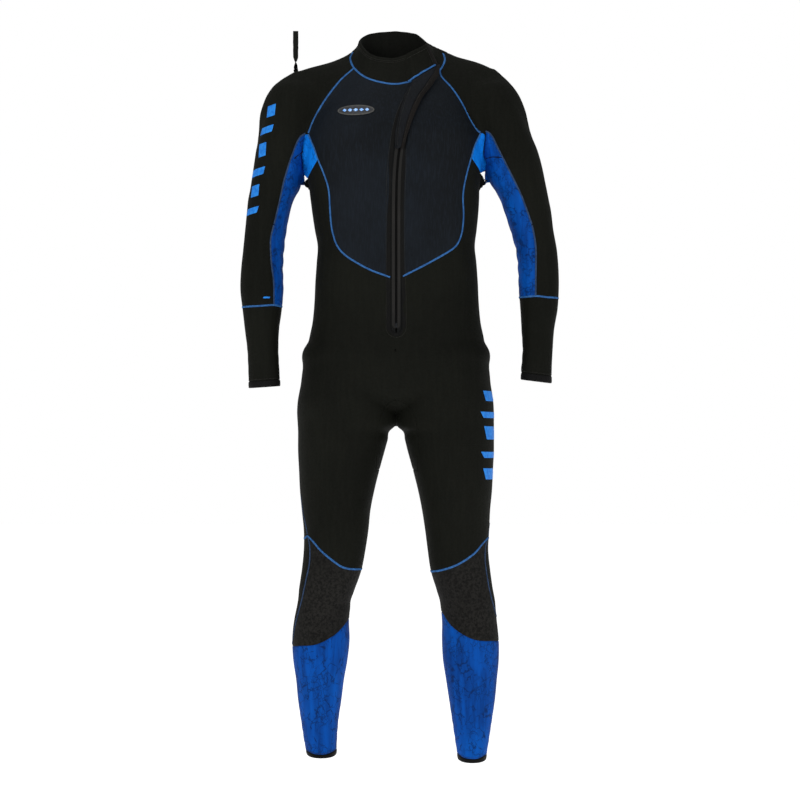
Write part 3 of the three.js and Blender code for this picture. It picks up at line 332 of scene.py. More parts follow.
def side_outlines(side):
    """Front and back outlines of the panels that come once per side."""
    sign, corner = SIGN[side], CORNERS[side]
    (neck_x, shoulder_end, arm_x, elbow_z, hip_x,
     armpit, gusset_points, crotch_foot, below_hem) = corner.values()

    def edge(name):
        return LINES[f"{name}_{side}"]

    neck = LINES["neck_front"]
    neck = neck[:6] if side == "right" else neck[:-7:-1]
    raglan, chest, underarm, elbow = map(edge, ("raglan", "chest", "underarm", "elbow"))
    forearm, ribs, armhole, crotch = map(edge, ("forearm", "rib_side", "armhole", "crotch"))
    knee, knee_side, calf = map(edge, ("knee", "knee_side", "calf"))
    shoulder_top = (sign * 180.2, 1480.7)
    neck_edge = [(neck_x, 1480.7), (neck_x, NECK_Z)]
    arm_edge = [shoulder_end, shoulder_top]
    thigh = [(sign * 221.2, THIGH_TOP_Z), crotch[-1], crotch_foot, (sign, 579.9), KNEE_INNER]
    thigh += knee[::-1]
    outlines = {
        "shoulder": (
            neck_edge + neck + raglan[1:] + arm_edge,
            neck_edge + neck[:1] + edge("raglan_back")[:-1] + raglan[-1:] + arm_edge),
        "sleeve_upper": both(
            [shoulder_top] + underarm + [(arm_x, ARM_SPLIT_Z), (arm_x, 1480.7)]),
        "underarm_panel": both(underarm + ribs + armhole),
        "elbow_outer": both(
            [(arm_x, ARM_SPLIT_Z)] + elbow + forearm[3::-1] + [(arm_x, elbow_z)]),
        "elbow_inner": both(elbow + forearm[5:] + edge("waist_side") + ribs[:1]),
        "forearm": both(
            [(arm_x, elbow_z)] + forearm + edge("hip_side")[3:0:-1] + edge("forearm_foot")),
        "cuff_hem": both(edge("cuff")),
        "underarm_gusset": both(
            chest[:gusset_points] + [armpit] + ribs[-1:] + armhole + underarm[:1]),
        "hip_panel": both(
            [(hip_x, HIP_TOP_Z), (0.2, HIP_TOP_Z), (0.1, 719)] + crotch
            + [(hip_x, THIGH_TOP_Z)]),
        "thigh_front": (thigh, None),
        "thigh_back": (None, thigh),
        "knee_pad": (knee[2:] + [KNEE_INNER] + calf[:2:-1] + knee_side[-2:0:-1], None),
        "knee_back": (knee[:2] + knee_side + calf[2::-1], knee + [KNEE_INNER] + calf[::-1]),
        "calf_panel": tuple(
            calf + [(1, 15.4)] + edge(hem)[::-1] for hem in ("hem", "hem_back")),
        "ankle_hem": (edge("hem") + below_hem, edge("hem_back") + below_hem),
    }
    return {f"{name}_{side}": outline for name, outline in outlines.items()}


def middle_outlines():
    """Front and back outlines of the panels beside or across the middle."""
    right, left = ({name[:-len(side) - 1]: points for name, points in LINES.items()
                    if name.endswith(side)} for side in SIGN)
    armpit_right, armpit_left = (corner["armpit"] for corner in CORNERS.values())
    neck, neck_back, waist = LINES["neck_front"], LINES["neck_back"], LINES["waist_back"]
    chest_right, chest_left = right["chest"], left["chest"]
    collar_right = [(-131.1, 1500.7), (-131.1, NECK_Z)]
    collar_left = [(139.1, NECK_Z), (139.1, 1500.7)]
    return {
        "collar": (
            collar_right + neck + collar_left,
            collar_right + neck[:1] + neck_back[1:-1] + neck[-1:] + collar_left),
        "chest_panel_right": (
            neck[5:18] + right["zip_side"] + chest_right[-4::-1] + right["raglan"][-2:0:-1],
            None),
        "chest_panel_left": (
            neck[23:26] + left["raglan"][1:] + chest_left[1:] + left["zip_side"], None),
        "abdomen_panel": (
            chest_right[3:4] + [armpit_right] + right["rib_side"][::-1]
            + right["waist_side"][::-1] + right["hip_side"][::-1] + left["hip_side"]
            + left["waist_side"] + left["rib_side"] + [armpit_left] + chest_left[6:]
            + LINES["zip_slot"] + chest_right[:3:-1], None),
        "back_upper_panel": (
            None, neck_back[1:-1] + left["raglan_back"][1:-1] + chest_left[:7] + [armpit_left]
            + left["rib_side"][::-1] + left["waist_side"][:1:-1] + waist[::-1]
            + right["waist_side"][-1:] + right["rib_side"] + [armpit_right]
            + chest_right[3::-1] + right["raglan_back"][-2:0:-1]),
        "back_lower_panel": (None, waist + left["hip_side"][::-1] + right["hip_side"]),
        "crotch_gusset": both(
            [(0.1, 719)] + right["crotch"]
            + [corner["crotch_foot"] for corner in CORNERS.values()] + left["crotch"][::-1]),
    }


OUTLINES = {**side_outlines("right"), **side_outlines("left"), **middle_outlines()}

# Outline edges that no seam shows on: axis the edge stays level in (0 x, 1 z), range of its
# size there, and the height it has to be above.
SOFT_EDGES = (
    (1, 812, 824, -math.inf), (1, 628, 639, -math.inf), (1, 1058, 1075, -math.inf),
    (0, 0, 1.5, -math.inf), (0, 173, 184, 1238),
)

# ------------------------------------------------------------------ body surface
TABLE_LOW, TABLE_HIGH = -80, 1520
TABLE_Z = np.arange(TABLE_LOW, TABLE_HIGH + 1, 1.0)
BODY_BOX = (-340, 350.1), (-132, 137.1), (-14, 1484.1)


def every_millimetre(rows):
    """Section edges at every height of TABLE_Z by cubic interpolation, and the end heights."""
    table = np.array(sorted(rows), float)
    z, steps, columns = table[:, 0], np.diff(table[:, 0]), []
    height = np.clip(TABLE_Z, z[0], z[-1])
    row = np.clip(np.searchsorted(z, height, side="right") - 1, 0, len(steps) - 1)
    t = (height - z[row]) / steps[row]
    for column in table[:, 1:].T:
        rate = np.diff(column) / steps
        slope = np.empty_like(column)
        slope[1:-1] = (rate[:-1] * steps[1:] + rate[1:] * steps[:-1]) / (steps[1:] + steps[:-1])
        slope[0], slope[-1] = rate[0], rate[-1]
        columns.append(
            (2*t**3 - 3*t**2 + 1) * column[row] + (t**3 - 2*t**2 + t) * steps[row] * slope[row]
            + (-2*t**3 + 3*t**2) * column[row+1] + (t**3 - t**2) * steps[row] * slope[row+1])
    return np.array(columns), z[0], z[-1]


SECTIONS = {name: every_millimetre(rows) + (power,) for name, (rows, power) in TUBES.items()}


def tube_distance(name, x, y, z):
    """Rough signed distance to a limb, negative inside."""
    columns, bottom, top, power = SECTIONS[name]
    place = np.clip(z - TABLE_LOW, 0, len(TABLE_Z) - 1.001)
    row = place.astype(int)
    part = place - row
    right, left, front, back = columns[:, row] * (1 - part) + columns[:, row + 1] * part
    half_x, half_y = np.maximum((left - right) / 2, 1.0), np.maximum((back - front) / 2, 1.0)
    from_x, from_y = x - (left + right) / 2, y - (back + front) / 2
    radius = np.hypot(from_x, from_y) + 1e-6
    ratio = ((np.abs(from_x) / half_x)**power
             + (np.abs(from_y) / half_y)**power)**(1 / power) + 1e-9
    return radius * (1 - 1 / ratio) + np.maximum(z - top, 0) + np.maximum(bottom - z, 0)


def soft_min(first, second, radius):
    part = np.clip(0.5 + 0.5 * (second - first) / radius, 0, 1)
    return second * (1 - part) + first * part - radius * part * (1 - part)


def field(points):
    """Rough signed distance to the whole body, negative inside."""
    x, y, z = points[..., 0], points[..., 1], points[..., 2]
    arm_radius = np.interp(z, *BLEND_ARM)
    upper = tube_distance("torso", x, y, z)
    for name in ("yoke", "arm_right", "arm_left"):
        upper = soft_min(upper, tube_distance(name, x, y, z), arm_radius)
    legs = soft_min(tube_distance("leg_right", x, y, z), tube_distance("leg_left", x, y, z),
                    np.interp(z, *BLEND_CROTCH))
    return soft_min(upper, legs, np.interp(z, *BLEND_HIP))


def slope_of(function, points, step):
    """Gradient of a function of points, by central differences."""
    return np.stack([(function(points + shift) - function(points - shift)) / (2 * step)
                     for shift in np.eye(3) * step], 1)


def gradient(points):
    return slope_of(field, points, 0.6)


def unit(vectors):
    return vectors / np.maximum(np.linalg.norm(vectors, axis=-1, keepdims=True), 1e-9)


def project(points, rounds, longest=4.0):
    """Moves points onto the body surface."""
    for _ in range(rounds):
        slope = gradient(points)
        size = np.maximum((slope * slope).sum(1, keepdims=True), 0.05)
        step = field(points)[:, None] * slope / size
        length = np.linalg.norm(step, axis=1, keepdims=True)
        points = points - step * np.minimum(1, longest / np.maximum(length, 1e-9))
    return points


def cells_back(index, axes, back):
    """Cell indices moved back along two axes."""
    moved = index.copy()
    moved[:, axes] -= back
    return moved


def surface_quads(cell):
    """One point per grid cell the surface passes through, joined into quads."""
    xs, ys, zs = (np.arange(low, high, cell) for low, high in BODY_BOX)
    values = np.empty((len(xs), len(ys), len(zs)), np.float32)
    grid_x, grid_y = np.meshgrid(xs, ys, indexing="ij")
    slab = 24    # layers evaluated at a time, to save memory
    for first in range(0, len(zs), slab):
        layers = np.broadcast_arrays(
            grid_x[..., None], grid_y[..., None], zs[None, None, first:first + slab])
        values[:, :, first:first + slab] = field(np.stack(layers, -1))
    values = values.astype(float)
    shape = np.array(values.shape) - 1
    total = np.zeros((*shape, 3))
    count = np.zeros(shape)
    crossings = []
    for axis in range(3):
        low, high = [slice(None)] * 3, [slice(None)] * 3
        low[axis], high[axis] = slice(0, -1), slice(1, None)
        before, after = values[tuple(low)], values[tuple(high)]
        index = np.argwhere((before < 0) != (after < 0))
        value, next_value = before[tuple(index.T)], after[tuple(index.T)]
        place = index.astype(float)
        place[:, axis] += value / (value - next_value)
        axes = [other for other in range(3) if other != axis]
        for back in ((0, 0), (0, 1), (1, 0), (1, 1)):
            near = cells_back(index, axes, back)
            valid = ((near[:, axes] >= 0) & (near[:, axes] < shape[axes])).all(1)
            np.add.at(total, tuple(near[valid].T), place[valid])
            np.add.at(count, tuple(near[valid].T), 1)
        crossings.append((axis, axes, index, value < 0))
    used = np.argwhere(count > 0)
    ids = -np.ones(count.shape, int)
    ids[tuple(used.T)] = np.arange(len(used))
    points = total[tuple(used.T)] / count[tuple(used.T)][:, None] * cell
    points = points + np.array([xs[0], ys[0], zs[0]])
    quads = []
    for axis, axes, index, enters in crossings:
        valid = ((index[:, axes] > 0) & (index[:, axes] < shape[axes])).all(1)
        index, enters = index[valid], enters[valid]
        quad = np.stack([ids[tuple(cells_back(index, axes, back).T)]
                         for back in ((0, 0), (1, 0), (1, 1), (0, 1))], 1)
        turned = ~enters if axis != 1 else enters
        quad[turned] = quad[turned][:, ::-1]
        quads.append(quad)
    return points, np.concatenate(quads)


def body_mesh(cell):
    """Even triangles on the body surface, with their points' normals."""
    points, quads = surface_quads(cell)
    points = project(points, 3)
    edges = np.concatenate([quads[:, [i, (i + 1) % 4]] for i in range(4)])
    start, end = edges.T
    neighbours = np.maximum(np.bincount(edges.ravel(), minlength=len(points))[:, None], 1)
    for _ in range(4):    # evens out the spacing within the surface
        total = np.stack([np.bincount(start, points[end, i], len(points))
                          + np.bincount(end, points[start, i], len(points))
                          for i in range(3)], 1)
        normals = unit(gradient(points))
        move = (total / neighbours - points) * 0.6
        points = points + move - (move * normals).sum(1, keepdims=True) * normals
        points = project(points, 1)
    diagonal = [np.linalg.norm(points[quads[:, i]] - points[quads[:, i + 2]], axis=1)
                for i in (0, 1)]
    short = diagonal[0] <= diagonal[1]
    tris = np.concatenate([quads[short][:, [0, 1, 2]], quads[short][:, [0, 2, 3]],
                           quads[~short][:, [0, 1, 3]], quads[~short][:, [1, 2, 3]]])
    normals = unit(gradient(points))
    if (face_vectors(points, tris) * normals[tris[:, 0]]).sum(1).mean() < 0:
        tris = tris[:, ::-1]    # faces have to look outwards
    return points, tris, normals


def face_vectors(points, tris):
    first, second, third = (points[tris[:, i]] for i in range(3))
    return np.cross(second - first, third - first)


def vertex_normals(points, tris):
    faces = face_vectors(points, tris)
    normals = np.zeros_like(points)
    for axis in range(3):
        for corner in range(3):
            normals[:, axis] += np.bincount(tris[:, corner], faces[:, axis], len(points))
    return unit(normals)


# Drag lines where the cloth bunches up. Columns: centre x, y, z; radii x, y, z; height; spacing;
# tilt; phase; change of phase per side. The paired ones are given for the left side.
PAIRED_CREASES = [
    (236, 0, 1012, 46, 70, 80, 0.9, 27, 0.35, 0.6, 1),       # elbow
    (205, -20, 1190, 60, 70, 70, 0.8, 34, -0.9, 1.7, 0),     # armpit
    (60, -70, 716, 60, 60, 62, 0.8, 33, 0.55, 2.1, 1),       # crotch, front
    (75, 90, 700, 70, 60, 70, 1.1, 36, -0.35, 0.4, 0),       # crotch, back
    (135, 50, 345, 60, 50, 70, 1.2, 25, 0.15, 0.9, 0),       # knee, back
    (140, -45, 300, 60, 60, 60, 0.35, 30, 0.1, 2.4, 0),      # knee, front
    (150, 0, 60, 50, 60, 60, 0.55, 22, 0.1, 1.1, 1),         # ankle
    (262, 0, 800, 40, 60, 60, 0.5, 24, 0.2, 0.3, -1),        # wrist
]
MIDDLE_CREASES = [
    (0, 85, 985, 150, 60, 90, 0.9, 48, 0.0, 0.5),            # waist, back
    (0, -100, 900, 170, 60, 70, 0.45, 56, 0.05, 1.5),        # belly
]


def creases(points):
    """Height of the drag lines over the smooth body."""
    x, y, z = points.T

    def bunch(x0, y0, z0, radius_x, radius_y, radius_z, height, period, tilt, phase):
        far = ((x - x0) / radius_x)**2 + ((y - y0) / radius_y)**2 + ((z - z0) / radius_z)**2
        along = (z - z0) + tilt * (x - x0) + 4.0 * np.sin((x + 2 * y) / 23.0 + phase)
        wave = np.sin(2 * math.pi * along / period + phase)
        return height * np.exp(-far * 1.4) * (wave - 0.35 * np.abs(wave))

    total = 0.25 * np.sin(x / 31 + 1.3 * np.sin(z / 97)) * np.sin(z / 83 + y / 40)
    for sign in (-1, 1):
        for x0, *middle, tilt, phase, change in PAIRED_CREASES:
            total += bunch(sign * x0, *middle, sign * tilt, phase + sign * change)
    for row in MIDDLE_CREASES:
        total += bunch(*row)
    return total


# ------------------------------------------------------------------ cutting the surface
def split(points, extra, tris, values, level):
    """Cuts every triangle along values == level; extra is carried with the points."""
    gap = values - level
    gap = np.where(np.abs(gap) < SNAP, 0.0, gap)
    signs = np.sign(gap)[tris]
    hit = (signs.min(1) < 0) & (signs.max(1) > 0)
    if not hit.any():
        return points, extra, tris, values
    crossed, signs = tris[hit], signs[hit]
    touching = (signs == 0).any(1)

    def rolled(corners, first):
        return np.take_along_axis(corners, (first[:, None] + np.arange(3)) % 3, 1)

    # two triangles where a corner lies on the line, three where one corner is alone
    halved = rolled(crossed[touching], np.argmax(signs[touching] == 0, 1))
    others = signs[~touching]
    lone = np.argmax(others * np.sign(others.sum(1))[:, None] < 0, 1)
    tipped = rolled(crossed[~touching], lone)
    edges = np.sort(np.concatenate([halved[:, [1, 2]], tipped[:, [0, 1]], tipped[:, [0, 2]]]), 1)
    key, inverse = np.unique(edges[:, 0].astype(np.int64) * len(points) + edges[:, 1],
                             return_inverse=True)
    start, end = key // len(points), key % len(points)
    part = (gap[start] / (gap[start] - gap[end]))[:, None]
    new_points = points[start] * (1 - part) + points[end] * part
    new_extra = extra[start] * (1 - part) + extra[end] * part
    ids = len(points) + inverse.ravel()
    middle, near, far = np.split(ids, [len(halved), len(halved) + len(tipped)])
    apex, second, third = halved.T
    tip, left, right = tipped.T
    new_tris = [(apex, second, middle), (apex, middle, third),
                (tip, near, far), (near, left, right), (near, right, far)]
    return (np.concatenate([points, new_points]), np.concatenate([extra, new_extra]),
            np.concatenate([tris[~hit]] + [np.stack(tri, 1) for tri in new_tris]),
            np.concatenate([values, np.full(len(key), float(level))]))


def compact(points, extra, tris):
    """Drops the points that no triangle uses."""
    used, inverse = np.unique(tris.ravel(), return_inverse=True)
    return points[used], extra[used], inverse.reshape(-1, 3)


def clip(points, extra, tris, values):
    """Keeps the part where values are positive."""
    points, extra, tris, values = split(points, extra, tris, values, 0.0)
    tris = tris[values[tris].max(1) > SNAP]
    tris = tris[values[tris].min(1) > -SNAP]
    return compact(points, extra, tris)


def soft_edge(start, end):
    """Whether an outline edge is one that shows no seam."""
    for axis, low, high, floor in SOFT_EDGES:
        inside = all(low <= abs(point[axis]) <= high for point in (start, end))
        level = abs(end[axis] - start[axis]) < 0.3 * abs(end[1 - axis] - start[1 - axis])
        if inside and level and min(start[1], end[1]) > floor:
            return True
    return False


def outline_distance(flat, outline):
    """Signed distance to an outline (inside positive) with its inward direction, then the
    unsigned distance to its seams with the direction away from them."""
    starts = np.array(outline, float)
    ends = np.roll(starts, -1, 0)
    real = np.linalg.norm(ends - starts, axis=1) > 1e-6
    starts, ends = starts[real], ends[real]
    area = (starts[:, 0] * ends[:, 1] - ends[:, 0] * starts[:, 1]).sum()
    sewn = np.array([not soft_edge(start, end) for start, end in zip(starts, ends)])
    edges = ends - starts
    edge_inward = unit(np.stack([-edges[:, 1], edges[:, 0]], 1)) * (1 if area > 0 else -1)
    rise = np.where(edges[:, 1] == 0, 1e-12, edges[:, 1])
    signed, inward = np.empty(len(flat)), np.empty((len(flat), 2))
    seam_gap, seam_way = np.full(len(flat), 999.0), np.zeros((len(flat), 2))
    chunk = 20000    # points handled at a time, to save memory
    for first in range(0, len(flat), chunk):
        part = slice(first, first + chunk)
        here = flat[part]
        away = here[:, None, :] - starts[None]
        along = np.clip((away * edges).sum(2) / (edges * edges).sum(1), 0, 1)
        offset = away - along[..., None] * edges
        square = (offset * offset).sum(2)
        spans = (starts[:, 1] > here[:, 1:2]) != (ends[:, 1] > here[:, 1:2])
        reach = starts[:, 0] + (here[:, 1:2] - starts[:, 1]) * edges[:, 0] / rise
        inside = (spans & (here[:, 0:1] < reach)).sum(1) % 2 == 1
        rows = np.arange(len(here))
        nearest = square.argmin(1)
        distance = np.sqrt(square[rows, nearest])
        sign = np.where(inside, 1.0, -1.0)
        signed[part] = distance * sign
        way = offset[rows, nearest] / np.maximum(distance, 1e-6)[:, None]
        inward[part] = np.where((distance > 0.3)[:, None], way * sign[:, None],
                                edge_inward[nearest])
        if sewn.any():
            nearest = np.where(sewn, square, 1e12).argmin(1)
            distance = np.sqrt(square[rows, nearest])
            way = offset[rows, nearest] / np.maximum(distance, 1e-6)[:, None]
            seam_gap[part] = distance
            seam_way[part] = np.where((distance > 0.6)[:, None], way, edge_inward[nearest])
    return signed, inward, seam_gap, seam_way


def on_surface(distance, direction, normals):
    """Turns a distance in space into the distance along the surface."""
    tangent = direction - (direction * normals).sum(1, keepdims=True) * normals
    size = np.linalg.norm(tangent, axis=1)
    return distance / np.maximum(size, 0.3), tangent / np.maximum(size, 1e-6)[:, None]


def region(points, normals, front, back):
    """Signed value of a panel region, and the distance to its seams with its direction."""
    flat, y = points[:, [0, 2]], points[:, 1]
    count = len(points)
    nothing = (np.full(count, -1e6), None, np.full(count, 999.0), np.zeros((count, 2)))
    in_front, _, front_gap, front_way = outline_distance(flat, front) if front else nothing
    if back is front:
        behind, back_gap, back_way = in_front, front_gap, front_way
    else:
        behind, _, back_gap, back_way = outline_distance(flat, back) if back else nothing
    value = np.stack([np.minimum(in_front, behind), np.minimum(in_front, SPLIT_Y - y),
                      np.minimum(behind, y - SPLIT_Y)]).max(0)
    facing = y < SPLIT_Y
    gap = np.where(facing, front_gap, back_gap)
    way = np.where(facing[:, None], front_way, back_way)
    way = np.stack([way[:, 0], np.zeros(count), way[:, 1]], 1)
    gap, way = on_surface(gap, way, normals)
    # where only one half is covered, the depth split is an edge too
    split_gap = np.where(np.where(facing, behind, in_front) < 0, np.abs(y - SPLIT_Y), 999.0)
    split_way = np.zeros_like(points)
    split_way[:, 1] = np.where(facing, -1.0, 1.0)
    split_gap, split_way = on_surface(split_gap, split_way, normals)
    nearer = split_gap < gap
    return value, np.where(nearer, split_gap, gap), np.where(nearer[:, None], split_way, way)


GROOVE_ROWS = (0.7, 2.0, 4.5)    # distances from a seam that get rows of points


def groove(gap):
    """Offset and shading slope of the dip towards a seam, by distance from it."""
    offset = np.interp(gap, [0, 0.7, 2.0, 4.5, 9.0], [-1.25, -0.62, -0.17, 0.0, 0.0])
    slope = np.interp(gap, [0, 0.7, 2.0, 4.4, 4.6], [0.95, 0.62, 0.16, 0.0, 0.0])
    return offset, slope


def halve(points, normals, tris):
    """Splits every triangle into four flat ones."""
    edges = np.sort(np.concatenate([tris[:, [0, 1]], tris[:, [1, 2]], tris[:, [2, 0]]]), 1)
    key, inverse = np.unique(edges[:, 0].astype(np.int64) * len(points) + edges[:, 1],
                             return_inverse=True)
    start, end = key // len(points), key % len(points)
    middle = len(points) + inverse.ravel().reshape(3, -1).T
    points = np.concatenate([points, (points[start] + points[end]) / 2])
    normals = np.concatenate([normals, unit(normals[start] + normals[end])])
    tris = np.concatenate([
        np.stack([tris[:, 0], middle[:, 0], middle[:, 2]], 1),
        np.stack([middle[:, 0], tris[:, 1], middle[:, 1]], 1),
        np.stack([middle[:, 2], middle[:, 1], tris[:, 2]], 1), middle])
    return points, normals, tris


def cut(front, back=None, hems=(), limits=(), fine=0):
    """The body surface inside an outline, with rows of points along its seams.

    limits and hems are functions that are positive where the panel stays; hems also count
    as seams. fine is how often the triangles are halved first. Returns points, normals,
    triangles, and each point's distance and direction from the nearest seam."""
    corners = np.array((front or []) + (back or []))
    low, high = corners.min(0) - 14.0, corners.max(0) + 14.0
    x, y, z = BODY_POINTS.T
    near = (x > low[0]) & (x < high[0]) & (z > low[1]) & (z < high[1])
    if not back:
        near &= y < SPLIT_Y + 12
    if not front:
        near &= y > SPLIT_Y - 12
    points, normals, tris = compact(BODY_POINTS, BODY_NORMALS, BODY_TRIS[near[BODY_TRIS].all(1)])
    for _ in range(fine):
        points, normals, tris = halve(points, normals, tris)
    value, _, _ = region(points, normals, front, back)
    points, normals, tris = clip(points, normals, tris, value)
    for limit in (*limits, *hems):
        points, normals, tris = clip(points, normals, tris, limit(points))
    normals = unit(normals)
    _, gap, way = region(points, normals, front, back)
    for hem in hems:
        hem_gap, hem_way = on_surface(hem(points), slope_of(hem, points, 0.5), normals)
        nearer = hem_gap < gap
        gap, way = np.where(nearer, hem_gap, gap), np.where(nearer[:, None], hem_way, way)
    gap = np.maximum(gap, 0)
    for level in GROOVE_ROWS:
        carried = np.concatenate([normals, way], 1)
        points, carried, tris, gap = split(points, carried, tris, gap, level)
        normals, way = carried[:, :3], carried[:, 3:]
    return points, unit(normals), tris, gap, way


def to_line(points, line):
    """Distance from points to an open line, seen square on."""
    starts, ends = np.array(line[:-1], float), np.array(line[1:], float)
    edges = ends - starts
    away = points[:, [0, 2]][:, None] - starts[None]
    along = np.clip((away * edges).sum(2) / (edges * edges).sum(1), 0, 1)
    return np.sqrt(((away - along[..., None] * edges)**2).sum(2).min(1))


def smooth_step(t):
    t = np.clip(t, 0, 1)
    return t * t * (3 - 2 * t)


# ------------------------------------------------------------------ making Blender meshes
def add_rest(mesh, coords):
    """Keeps the unposed place of every vertex, which the materials read."""
    rest = mesh.attributes.new("rest", "FLOAT_VECTOR", "POINT")
    rest.data.foreach_set("vector", coords.astype(np.float32).ravel())


def link_object(name, mesh, mat):
    mesh.materials.append(mat)
    obj = bpy.data.objects.new(name, mesh)
    bpy.context.scene.collection.objects.link(obj)
    return obj


def new_object(name, points, faces, mat, loop_normals=None, sharp_angle=None):
    """Smooth mesh object; faces is a list of index arrays, one face per row."""
    mesh = bpy.data.meshes.new(name)
    coords = np.asarray(points, float) * 0.001
    mesh.vertices.add(len(coords))
    mesh.vertices.foreach_set("co", coords.astype(np.float32).ravel())
    index = np.concatenate([np.asarray(face).ravel() for face in faces]).astype(np.int32)
    sizes = np.concatenate([np.full(len(face), np.asarray(face).shape[1], np.int32)
                            for face in faces])
    mesh.loops.add(len(index))
    mesh.loops.foreach_set("vertex_index", index)
    mesh.polygons.add(len(sizes))
    mesh.polygons.foreach_set(
        "loop_start", np.concatenate([[0], np.cumsum(sizes)[:-1]]).astype(np.int32))
    mesh.update(calc_edges=True)
    mesh.validate()
    mesh.polygons.foreach_set("use_smooth", np.full(len(mesh.polygons), True))
    add_rest(mesh, coords)
    # validate() may drop faces, and then the normals no longer match
    if loop_normals is not None and len(mesh.loops) == len(loop_normals):
        mesh.normals_split_custom_set(loop_normals.astype(np.float32))
    elif sharp_angle is not None:
        mesh.set_sharp_from_angle(angle=math.radians(sharp_angle))
    return link_object(name, mesh, mat)


def boundary(tris):
    edges = np.concatenate([tris[:, [0, 1]], tris[:, [1, 2]], tris[:, [2, 0]]])
    count = int(tris.max()) + 1
    key = edges[:, 0].astype(np.int64) * count + edges[:, 1]
    opposite = edges[:, 1].astype(np.int64) * count + edges[:, 0]
    return edges[~np.isin(key, opposite)]


def shell(name, points, normals, tris, outer, inner, mat, tilt=None, sharp_angle=None,
          inner_mat=None):
    """Closed sheet between two offsets from the surface.

    Without a sharp_angle it gets custom normals, leaned by tilt on the outer side."""
    count = len(points)
    sheet = np.concatenate([points + normals * np.broadcast_to(offset, count)[:, None]
                            for offset in (outer, inner)])
    rim = boundary(tris)
    wall = np.stack([rim[:, 1], rim[:, 0], rim[:, 0] + count, rim[:, 1] + count], 1)
    faces = [tris, tris[:, ::-1] + count, wall]
    loops = None
    if sharp_angle is None:
        leaned = unit(normals - tilt) if tilt is not None else normals
        across = sheet[wall[:, 1]] - sheet[wall[:, 0]]
        wall_normals = unit(np.cross(across, sheet[wall[:, 3]] - sheet[wall[:, 0]]))
        loops = np.concatenate([leaned[tris.ravel()], -normals[tris[:, ::-1].ravel()],
                                np.repeat(wall_normals, 4, 0)])
    obj = new_object(name, sheet, faces, mat, loops, sharp_angle)
    if inner_mat is not None:
        obj.data.materials.append(inner_mat)
        slots = np.zeros(len(obj.data.polygons), np.int32)
        slots[len(tris):2 * len(tris)] = 1
        obj.data.polygons.foreach_set("material_index", slots)
    return obj


# ------------------------------------------------------------------ lines along the surface
# A traced line is a tuple: points, surface normals, sideways directions.
STITCH_STEP = 0.8    # spacing of the points on a traced line


def find_y(x, z, back=False):
    """Where a line along Y first meets the body, from the front or from the back."""
    sign = 1.0 if back else -1.0
    depths = np.arange(150.0, -0.1, -2.0)
    probes = np.broadcast_arrays(x[:, None], SPLIT_Y + sign * depths[None], z[:, None])
    inside = field(np.stack(probes, -1)) < 0
    hit = inside.any(1)
    first = np.argmax(inside, 1)
    outer = SPLIT_Y + sign * np.where(hit, depths[first] + 2, 2.0)
    inner = SPLIT_Y + sign * np.where(hit, depths[first], 0.0)
    for _ in range(12):
        middle = (outer + inner) / 2
        within = field(np.stack([x, middle, z], 1)) < 0
        inner, outer = np.where(within, middle, inner), np.where(within, outer, middle)
    return np.where(hit, inner, SPLIT_Y), hit


def resample(points, step):
    lengths = np.linalg.norm(np.diff(points, axis=0), axis=1)
    along = np.concatenate([[0], np.cumsum(lengths)])
    count = max(2, int(round(along[-1] / step)) + 1)
    even = np.linspace(0, along[-1], count)
    return np.stack([np.interp(even, along, column) for column in points.T], 1)


def tangents(points):
    return unit(np.gradient(points, axis=0))


def traced(points, normals):
    return points, normals, unit(np.cross(tangents(points), normals))


def traced_evenly(points, normals):
    """A traced line resampled together with its normals."""
    even = resample(np.concatenate([points, normals], 1), STITCH_STEP)
    return traced(even[:, :3], unit(even[:, 3:]))


def trace(line, back=False, step=STITCH_STEP, rounding=3):
    """Lays (x, z) points on the body; rounding is the width that softens their corners."""
    flat = resample(np.array(line, float), 1.0)
    kernel = np.ones(rounding) / rounding
    for column in range(2):
        padded = np.pad(flat[:, column], rounding, mode="edge")
        flat[:, column] = np.convolve(padded, kernel, "same")[rounding:-rounding]
    y, hit = find_y(flat[:, 0], flat[:, 1], back)
    # keeps the longest stretch that meets the body
    ends = np.flatnonzero(np.diff(np.concatenate([[0], hit.astype(int), [0]])))
    _, first, last = max((b - a, a, b) for a, b in zip(ends[::2], ends[1::2]))
    points = project(np.stack([flat[:, 0], y, flat[:, 1]], 1)[first:last], 3)
    points = project(resample(points, step), 2)
    return traced(points, unit(gradient(points)))


def strip_quads(rows, sides):
    """Faces between the rings of a tube; each ring has as many points as sides."""
    here = np.arange(rows - 1)[:, None] * sides + np.arange(sides)[None]
    beside = np.arange(rows - 1)[:, None] * sides + (np.arange(sides)[None] + 1) % sides
    return np.stack([here, beside, beside + sides, here + sides], -1).reshape(-1, 4)


# Section of a flat strip: place across it and share of its height; None is the underside.
RIBBON_SECTION = [(-1.0, 0.05), (-0.72, 0.75), (-0.25, 1.0), (0.25, 1.0), (0.72, 0.75),
                  (1.0, 0.05), (0.9, None), (-0.9, None)]


def ribbon(lines, half, rise, under=-1.0):
    """Closed flat strips over traced lines, as points and faces."""
    sides = len(RIBBON_SECTION)
    all_points, quads, first_caps, last_caps = [], [], [], []
    base = 0
    for line in lines:
        points, normals, across = (column[::2] for column in line)
        rings = np.stack([
            points + across * (place * half) + normals * (under if up is None else rise * up)
            for place, up in RIBBON_SECTION], 1)
        rows = len(points)
        all_points.append(rings.reshape(-1, 3))
        quads.append(strip_quads(rows, sides)[:, ::-1] + base)
        first_caps.append(np.arange(sides)[::-1] + base)
        last_caps.append(np.arange(sides) + base + (rows - 1) * sides)
        base += rows * sides
    return (np.concatenate(all_points),
            [np.concatenate(quads), np.stack(first_caps), np.stack(last_caps)])


